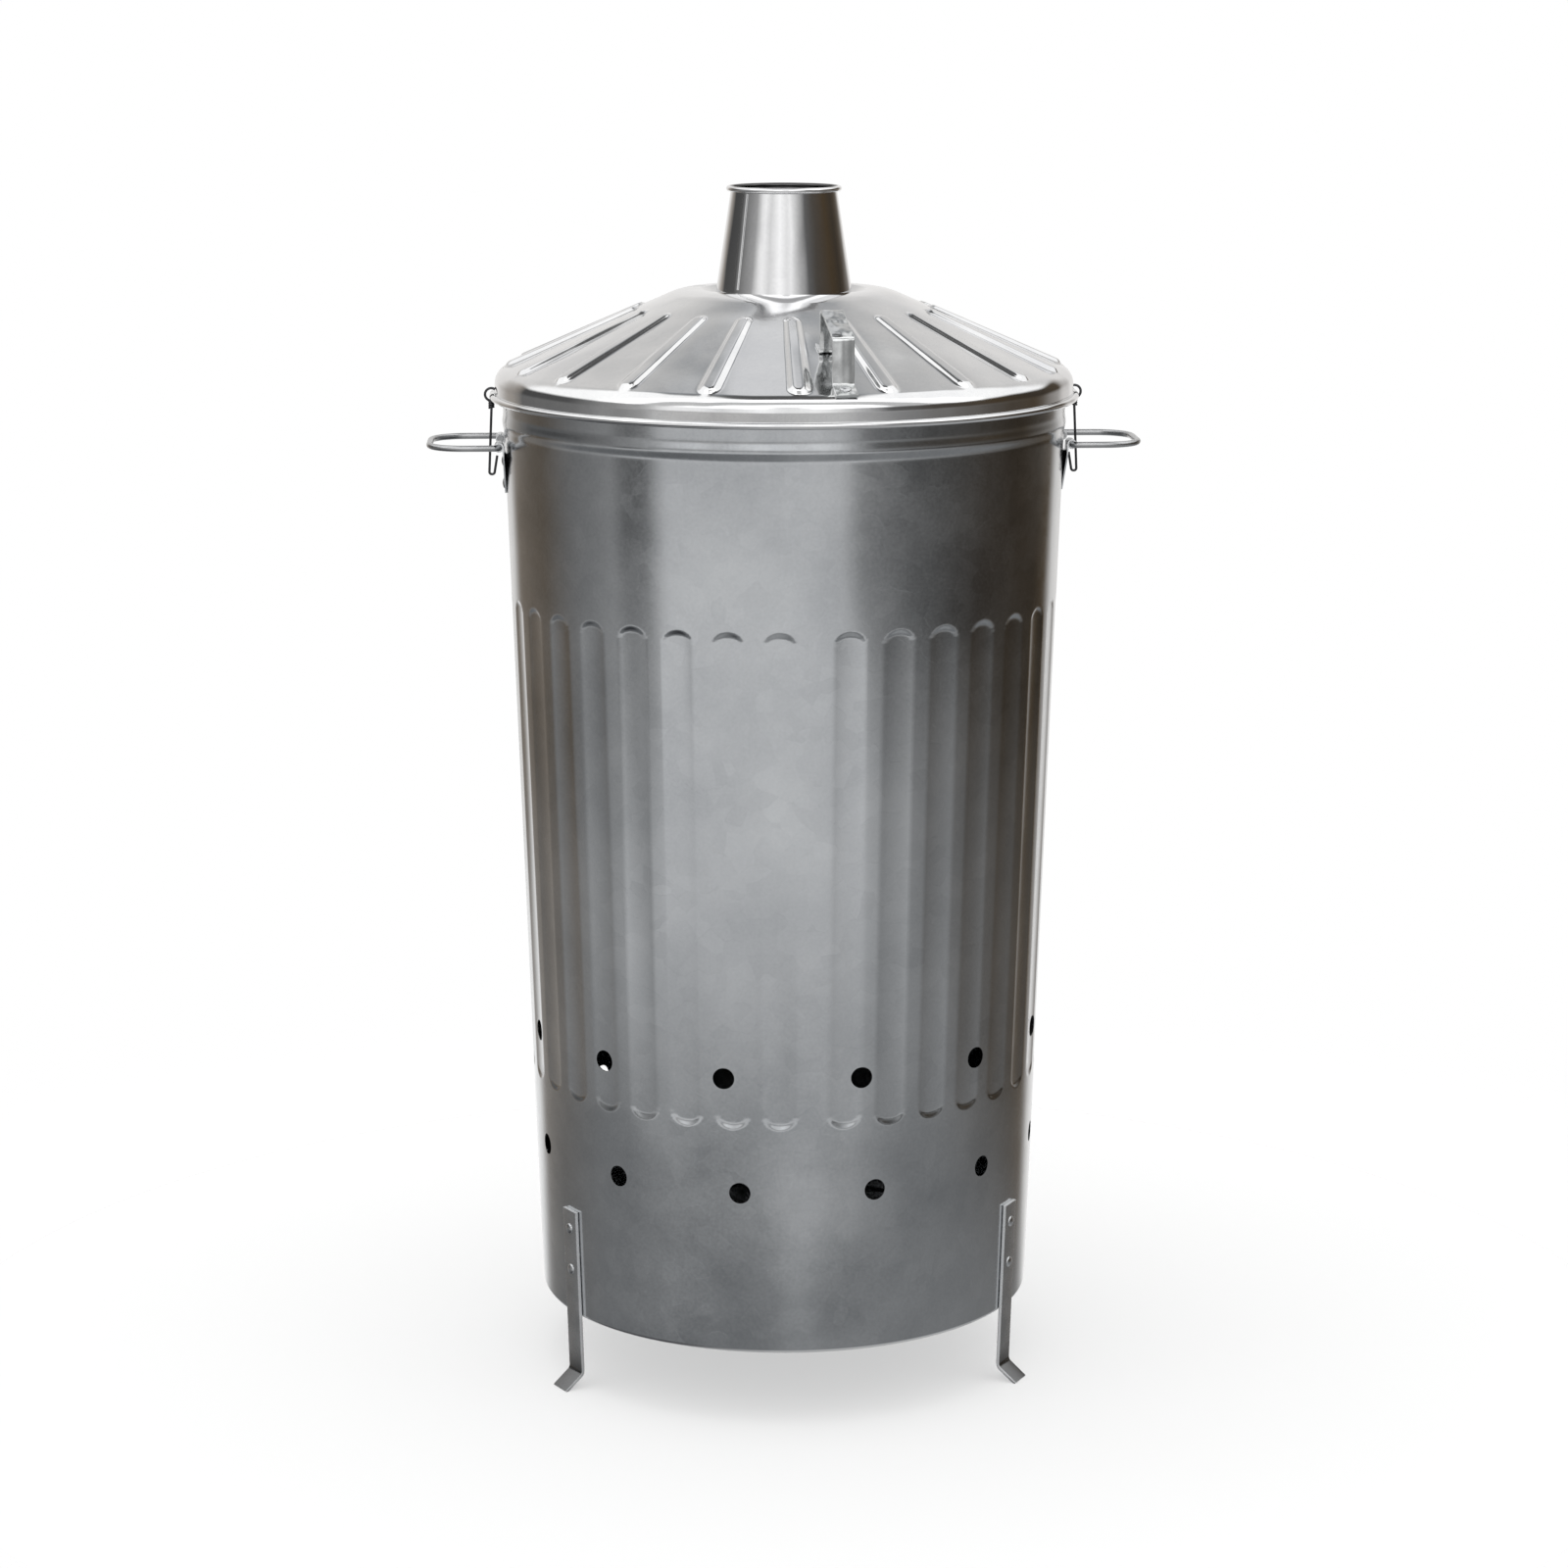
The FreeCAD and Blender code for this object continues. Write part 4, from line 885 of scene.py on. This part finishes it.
def soften(node, width):
    """Rounds a plain solid's edges a little, so that they catch the light."""
    node.modifiers.new("merge", "WELD").merge_threshold = MERGE
    bevel = node.modifiers.new("soft edge", "BEVEL")
    bevel.width = width
    bevel.segments = 2
    bevel.limit_method = "ANGLE"
    bevel.angle_limit = math.radians(40.0)


for side, sign in SIDES:
    make_handle(side, sign)
    ear = nodes[f"handle_bracket_{side}"]
    dress(ear, STRAP)
    soften(ear, 0.00025)
    print("ear plate:", ear.name)

# %% [markdown]
# ## The lid's bridge
#
# A strap bent into a bridge is riveted to the flat between two ribs, so that a hand or a poker can lift
# the hot lid.

# %% Lid bridge
BRIDGE_AZIMUTH = 9.0


def make_bridge():
    lift = 1.2 / math.cos(SLOPE)
    inner, outer, foot, rise, bend = 170, 213, 15, 35, 3.5
    route = ((inner - foot, 0, 0), (inner, 0, bend), (inner, rise, bend), (outer, rise, bend),
             (outer, 0, bend), (outer + foot, 0, 0))
    corners = [(*around(r, lid_top(r) + lift + up, BRIDGE_AZIMUTH), turn) for r, up, turn in route]
    bridge = bent("lid_bridge", corners, BRIDGE, Round=False, Width=0.017, Thick=0.002, Edge=0.0005)
    settle(bridge, "lid", "zinc_strap", "lid_handle")


make_bridge()

# %% [markdown]
# ## Lid clips
#
# Each clip is thin dark wire: an eye through the skirt and round its bead, a few turns of the wire's own
# end wrapped round the shank, and a hook that turns up at the bottom.

# %% Lid clips
def join_meshes(name, parts):
    """One object out of several finished meshes of the same finish."""
    shape = bmesh.new()
    for part in parts:
        shape.from_mesh(part.data)
    mesh = bpy.data.meshes.new(name)
    shape.to_mesh(mesh)
    shape.free()
    mesh.materials.append(parts[0].data.materials[0])
    for part in parts:
        bpy.data.objects.remove(part)
    return show(name, mesh)


def make_clip(side, sign):
    centre = Vector((234.0, 0.0, BEAD_Z + 0.5))
    eye, coil, coil_top, coil_length = 5.0, 1.75, -5.6, 5.2
    neck, hook, hook_bend, tip = -11.0, -64.0, 1.9, -49.0
    three_turns = 6 * math.pi

    def at(x, y, z, bend=0.0):
        return (sign * (centre.x + x), sign * y, centre.z + z, bend)

    ring = [at(eye * math.cos(a), 0.0, eye * math.sin(a)) for a in steps(0.0, 2 * math.pi, 40)]
    shank = [at(0, 0, -eye), at(0, 0, neck, 6.0), at(2.5, 0, hook, hook_bend),
             at(-1.5, 0, hook, hook_bend), at(-4.0, 0, tip)]
    wrap = [at(coil * math.cos(a), coil * math.sin(a), coil_top - coil_length * a / three_turns)
            for a in steps(0.0, three_turns, 48) + [three_turns]]
    parts = [bent(f"clip_eye_{side}", ring, DARK, True, Thick=0.002),
             bent(f"clip_shank_{side}", shank, DARK, Thick=0.002),
             bent(f"clip_wrap_{side}", wrap, DARK, Thick=0.0017)]
    clip = join_meshes(f"clip_{side}_wire", parts)
    settle(clip, f"clip_{side}", "dark_wire", f"lid_clip_{side}")


for side, sign in SIDES:
    make_clip(side, sign)

# %% [markdown]
# ## Rivets
#
# Domed rivets hold the legs, the ears and the bridge. One rivet is turned on the lathe and set at every
# place by a tree, standing along the direction that is stored there.

# %% The rivet tree and the rivets
def make_set_rivets():
    tree, w, given, result = open_shape_tree("set rivets", [("Rivet", "Object", None)])
    shape = w.geometry("ObjectInfo", given["Rivet"], output="Geometry")
    close_shape_tree(w, stand_copies(w, given["Mesh"], shape), given, result)
    return tree


SET_RIVETS = make_set_rivets()


def rivet_section(grip):
    head, dome, shank, tail, edge = 4.5, 1.9, 2.0, 1.2, 0.2
    top = [Vector((head * math.sin(a), dome * math.cos(a))) for a in steps(0.0, math.pi / 2, 8)]
    under = ((head, 0.0), (shank, 0.0), (shank, -grip), (head - edge, -grip), (head, -grip - edge),
             (head - edge, -grip - tail), (0.0, -grip - tail))
    return top + [Vector(p) for p in under]


def set_rivets(name, spots, body, node, grip):
    """Rivets at places, each reaching through a grip in millimetres."""
    one = turned(f"{name}_one", rivet_section(grip), 28, RIVET)
    rivets = grow(name, spot_mesh(name, spots), [(SET_RIVETS, {"Rivet": one})], RIVET)
    bpy.data.objects.remove(one)
    settle(rivets, body, "rivet_steel", node)


def wall_spots(azimuths, heights, face):
    """Places outside the wall, at the face of what the rivets hold."""
    spots = []
    for azimuth in azimuths:
        for z in heights:
            stand = square_to_wall(azimuth)
            spots.append((around(wall(z), z, azimuth) + stand * face, stand))
    return spots


def lid_spots(radii, face):
    stand = around(math.sin(SLOPE), math.cos(SLOPE), BRIDGE_AZIMUTH)
    return [(around(r, lid_top(r), BRIDGE_AZIMUTH) + stand * face, stand) for r in radii]


set_rivets("leg_rivet_heads", wall_spots(LEGS.values(), (100.0, 134.5), face=3.1),
           "bin", "leg_rivets", grip=4.0)
set_rivets("ear_rivet_heads", wall_spots((-90.0, 90.0), (727.0, 745.0), face=1.3),
           "bin", "bracket_rivets", grip=2.2)
set_rivets("bridge_rivet_heads", lid_spots((160.1, 219.07), face=2.25),
           "lid", "lid_handle_rivets", grip=3.15)
for holder in (air_holes, pan_holes, clip_holes):
    bpy.data.objects.remove(holder)

# %% [markdown]
# The bead's wire lies out of sight inside the rolled edge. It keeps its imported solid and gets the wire's
# finish, so that it is right wherever the edge is opened up.

# %% Rim wire
rim_wire = nodes["lid_rim_wire"]
dress(rim_wire, WIRE)
print("rim wire finished:", rim_wire.name)

# %% [markdown]
# ## Studio
#
# Polished metal shows its surroundings more than its own colour. A studio would stand a broad soft light
# near the camera and leave the sides dark, and that is what the sky here does: bright in front and
# behind, dim and a little warm at the sides, and dark overhead between lamps and screens. The floor is
# pale, fades out before its edge, and stays out of the reflections.

# %% Floor
def make_floor():
    fade_start, fade_end, strength = 0.3, 1.2, 0.5
    bpy.ops.mesh.primitive_circle_add(vertices=96, radius=2.2, fill_type="NGON", location=(0, 0, 0))
    floor = bpy.context.object
    floor.name = "studio_floor"
    material, w, shader = new_finish("pale floor")
    shader["Base Color"].default_value = (0.9, 0.9, 0.9, 1.0)
    shader["Roughness"].default_value = 0.9
    far = w.vector("LENGTH", w.add("ShaderNodeTexCoord").outputs["Object"])
    w.join(w.remap(far, fade_start, fade_end, strength, 0.0, smooth=True), shader["Alpha"])
    floor.data.materials.append(material)
    floor.visible_glossy = False
    return floor


floor = make_floor()
print("floor:", floor.name)

# %% [markdown]
# The sky is a stack of rings. Each begins at one height of the view, is whole at another, and holds stops
# of azimuth in degrees, brightness and, where it has any, warmth. Above them is a ceiling, with stops by
# the distance from straight overhead and patches for the studio's lamps and screens.

# %% Sky
RINGS = {
    (-0.375, -0.305): [
        (-180, 1.2), (-158, 0.95, 0.01), (-146, 0.3, 0.03), (-122, 0.22, 0.02), (-96, 0.4), (-82, 0.5),
        (-68, 0.72), (-50, 0.9), (8, 0.9), (28, 0.84), (42, 0.6), (60, 0.42), (90, 0.2, 0.01),
        (125, 0.11, 0.02), (140, 0.13, 0.03), (151, 0.85, 0.02), (180, 1.2)],
    (-0.26, -0.2): [
        (-180, 0.9, 0.01), (-160, 0.85, 0.02), (-147, 0.22, 0.04), (-122, 0.12, 0.03), (-96, 0.24),
        (-80, 0.36), (-72, 0.1), (-62, 0.12), (-54, 0.82), (4, 0.82), (20, 0.68), (32, 0.18), (54, 0.06),
        (90, 0.035, 0.01), (125, 0.035, 0.012), (138, 0.07, 0.03), (150, 0.85, 0.02), (180, 0.9, 0.01)],
    (-0.148, -0.112): [
        (-180, 0.9, 0.01), (-160, 0.85, 0.02), (-143, 0.34, 0.03), (-130, 0.15), (-95, 0.18), (-78, 0.28),
        (-55, 0.46), (-35, 0.52, 0.01), (15, 0.55), (32, 0.44), (50, 0.28), (65, 0.18, 0.01),
        (87, 0.1, 0.01), (112, 0.06, 0.02), (137, 0.4, 0.02), (155, 0.85, 0.02), (180, 0.9, 0.01)],
    (-0.05, 0.08): [
        (-180, 0.88, 0.01), (-155, 0.84, 0.02), (-140, 0.33, 0.03), (-128, 0.07), (-100, 0.09), (-82, 0.24),
        (-62, 0.4), (-48, 0.98), (-40, 1.1), (-28, 0.86), (-12, 1.25), (2, 0.98), (10, 1.1), (26, 0.56),
        (40, 0.13), (60, 0.07, 0.01), (90, 0.05, 0.02), (112, 0.04, 0.01), (140, 0.07, 0.02),
        (155, 0.84, 0.02), (180, 0.88, 0.01)]}
CEILING = [(0.0, 0.1), (0.24, 0.12), (0.36, 0.26, -0.01), (0.5, 0.38, -0.015), (0.6, 0.54),
           (0.72, 0.73, 0.01), (0.85, 0.82, 0.01), (1.0, 0.9, 0.01)]
SIDE_LAMPS, FRONT_LAMP = (1.25, 1.25, 1.25), (1.9, 1.9, 1.9)
BACK_SCREEN, FRONT_SCREEN = (0.8, 0.805, 0.82), (0.62, 0.62, 0.62)
DEEP_LEFT, DEEP_RIGHT = (0.05, 0.05, 0.055), (0.42, 0.425, 0.43)
LOW_LEFT, LOW_RIGHT = (0.19, 0.195, 0.2), (0.28, 0.285, 0.29)
LOW_MIDDLE, LOW_BACK = (0.38, 0.385, 0.39), (1.2, 1.2, 1.19)
WHITE = (1.0, 1.0, 1.0)


def blend(w, value, start, end, first, second):
    """Goes smoothly from one colour to another as a value goes from its start to its end."""
    return w.mix(w.remap(value, start, end, smooth=True), first, second)


def sky_ramp(w, share, stops):
    """Brightness and warmth along a share from 0 to 1, as one colour ramp."""
    band = w.add("ShaderNodeValToRGB", share)
    marks = band.color_ramp.elements
    while len(marks) < len(stops):
        marks.new(0.5)
    for mark, (place, value, *warmth) in zip(marks, stops):
        warm = sum(warmth)
        mark.position = place
        mark.color = (value + warm, value, value - warm, 1.0)
    return band.outputs[0]


def round_about(stops):
    """The same stops with their azimuths, in degrees, as shares of a turn."""
    return [(degrees / 360.0 + 0.5, *tone) for degrees, *tone in stops]


def patch(w, under, tint, first, second):
    """A tint over a colour, where two values (each with its start and end) are both past their ends."""
    share = w.times(w.remap(*first), w.remap(*second))
    return blend(w, share, 0.0, 1.0, under, tint)


def ceiling_colour(w, x, y, aside):
    """The sky overhead, which the lid reflects."""
    overhead = w.add("ShaderNodeCombineXYZ", x, w.minus(y, 0.1), 0.0).outputs[0]
    colour = sky_ramp(w, w.vector("LENGTH", overhead), CEILING)
    colour = patch(w, colour, SIDE_LAMPS, (aside, 0.17, 0.27), (y, 0.7, 0.5))
    colour = patch(w, colour, BACK_SCREEN, (aside, 0.13, 0.05), (y, 0.36, 0.5))
    colour = blend(w, y, -0.02, -0.22, colour, FRONT_LAMP)
    return patch(w, colour, FRONT_SCREEN, (y, -0.36, -0.45), (y, -0.74, -0.63))


def low_colour(w, x, y, z):
    """The sky below the rings: darker to the left, paler in the middle and bright behind."""
    deep = blend(w, x, -0.65, -0.1, DEEP_LEFT, DEEP_RIGHT)
    foot = blend(w, x, -0.9, -0.3, LOW_LEFT, LOW_RIGHT)
    middle = w.math("ABSOLUTE", w.minus(x, 0.03))
    foot = blend(w, middle, 0.26, 0.04, foot, LOW_MIDDLE)
    foot = blend(w, y, 0.8, 0.93, foot, LOW_BACK)
    return blend(w, z, -0.62, -0.5, deep, foot)


def make_sky():
    """The low sky, the rings and the ceiling for reflections, and plain white for all other light."""
    world = bpy.data.worlds.new("studio sky")
    bpy.context.scene.world = world
    world.use_nodes = True
    w = Wires(world.node_tree)
    x, y, z = w.parts(w.add("ShaderNodeTexCoord").outputs["Generated"])
    aside = w.math("ABSOLUTE", x)
    azimuth = w.math("ARCTAN2", x, w.times(y, -1.0))
    share = w.math("MULTIPLY_ADD", azimuth, 0.5 / math.pi, 0.5)
    colour = low_colour(w, x, y, z)
    for (low, high), stops in RINGS.items():
        colour = blend(w, z, low, high, colour, sky_ramp(w, share, round_about(stops)))
    lift = w.remap(aside, 0.07, 0.16, 0.22, 0.0)
    colour = blend(w, w.minus(z, lift), 0.28, 0.42, colour, ceiling_colour(w, x, y, aside))
    path = w.add("ShaderNodeLightPath").outputs
    plain = w.math("MAXIMUM", path["Is Camera Ray"], path["Is Diffuse Ray"])
    shown = blend(w, plain, 0.0, 1.0, colour, WHITE)
    w.join(shown, world.node_tree.nodes["Background"].inputs["Color"])
    return world


sky = make_sky()
print("sky:", sky.name)

# %% [markdown]
# One soft lamp overhead deepens the shadow under the bin. The metal would show it as a disc, so it stays
# out of the reflections. The camera has a long lens, stands a little left of the front and looks down.

# %% Lights and camera
CAMERA_AZIMUTH, CAMERA_RADIUS, CAMERA_HEIGHT, CAMERA_PITCH = -3.0, 3.105, 1.127, 11.81


def soft_light(name, place, aim, size, watts):
    light = bpy.data.lights.new(name, "AREA")
    light.shape = "DISK"
    light.size = size
    light.energy = watts
    lamp = show(name, light)
    lamp.location = place
    lamp.rotation_euler = (Vector(aim) - Vector(place)).to_track_quat("-Z", "Y").to_euler()
    lamp.visible_glossy = False


soft_light("overhead", place=(-0.3, -0.2, 3.2), aim=(0.0, 0.0, 0.6), size=1.6, watts=12.0)

camera_data = bpy.data.cameras.new("photo view")
camera_data.lens = 89.0
camera_data.sensor_width = 36.0
camera = show("photo view", camera_data)
camera.location = around(CAMERA_RADIUS, CAMERA_HEIGHT, CAMERA_AZIMUTH)
camera.rotation_euler = (math.radians(90.0 - CAMERA_PITCH), 0.0, math.radians(CAMERA_AZIMUTH))
bpy.context.scene.camera = camera
bpy.context.scene.view_settings.view_transform = "Standard"
print("camera at", [round(v, 3) for v in camera.location])
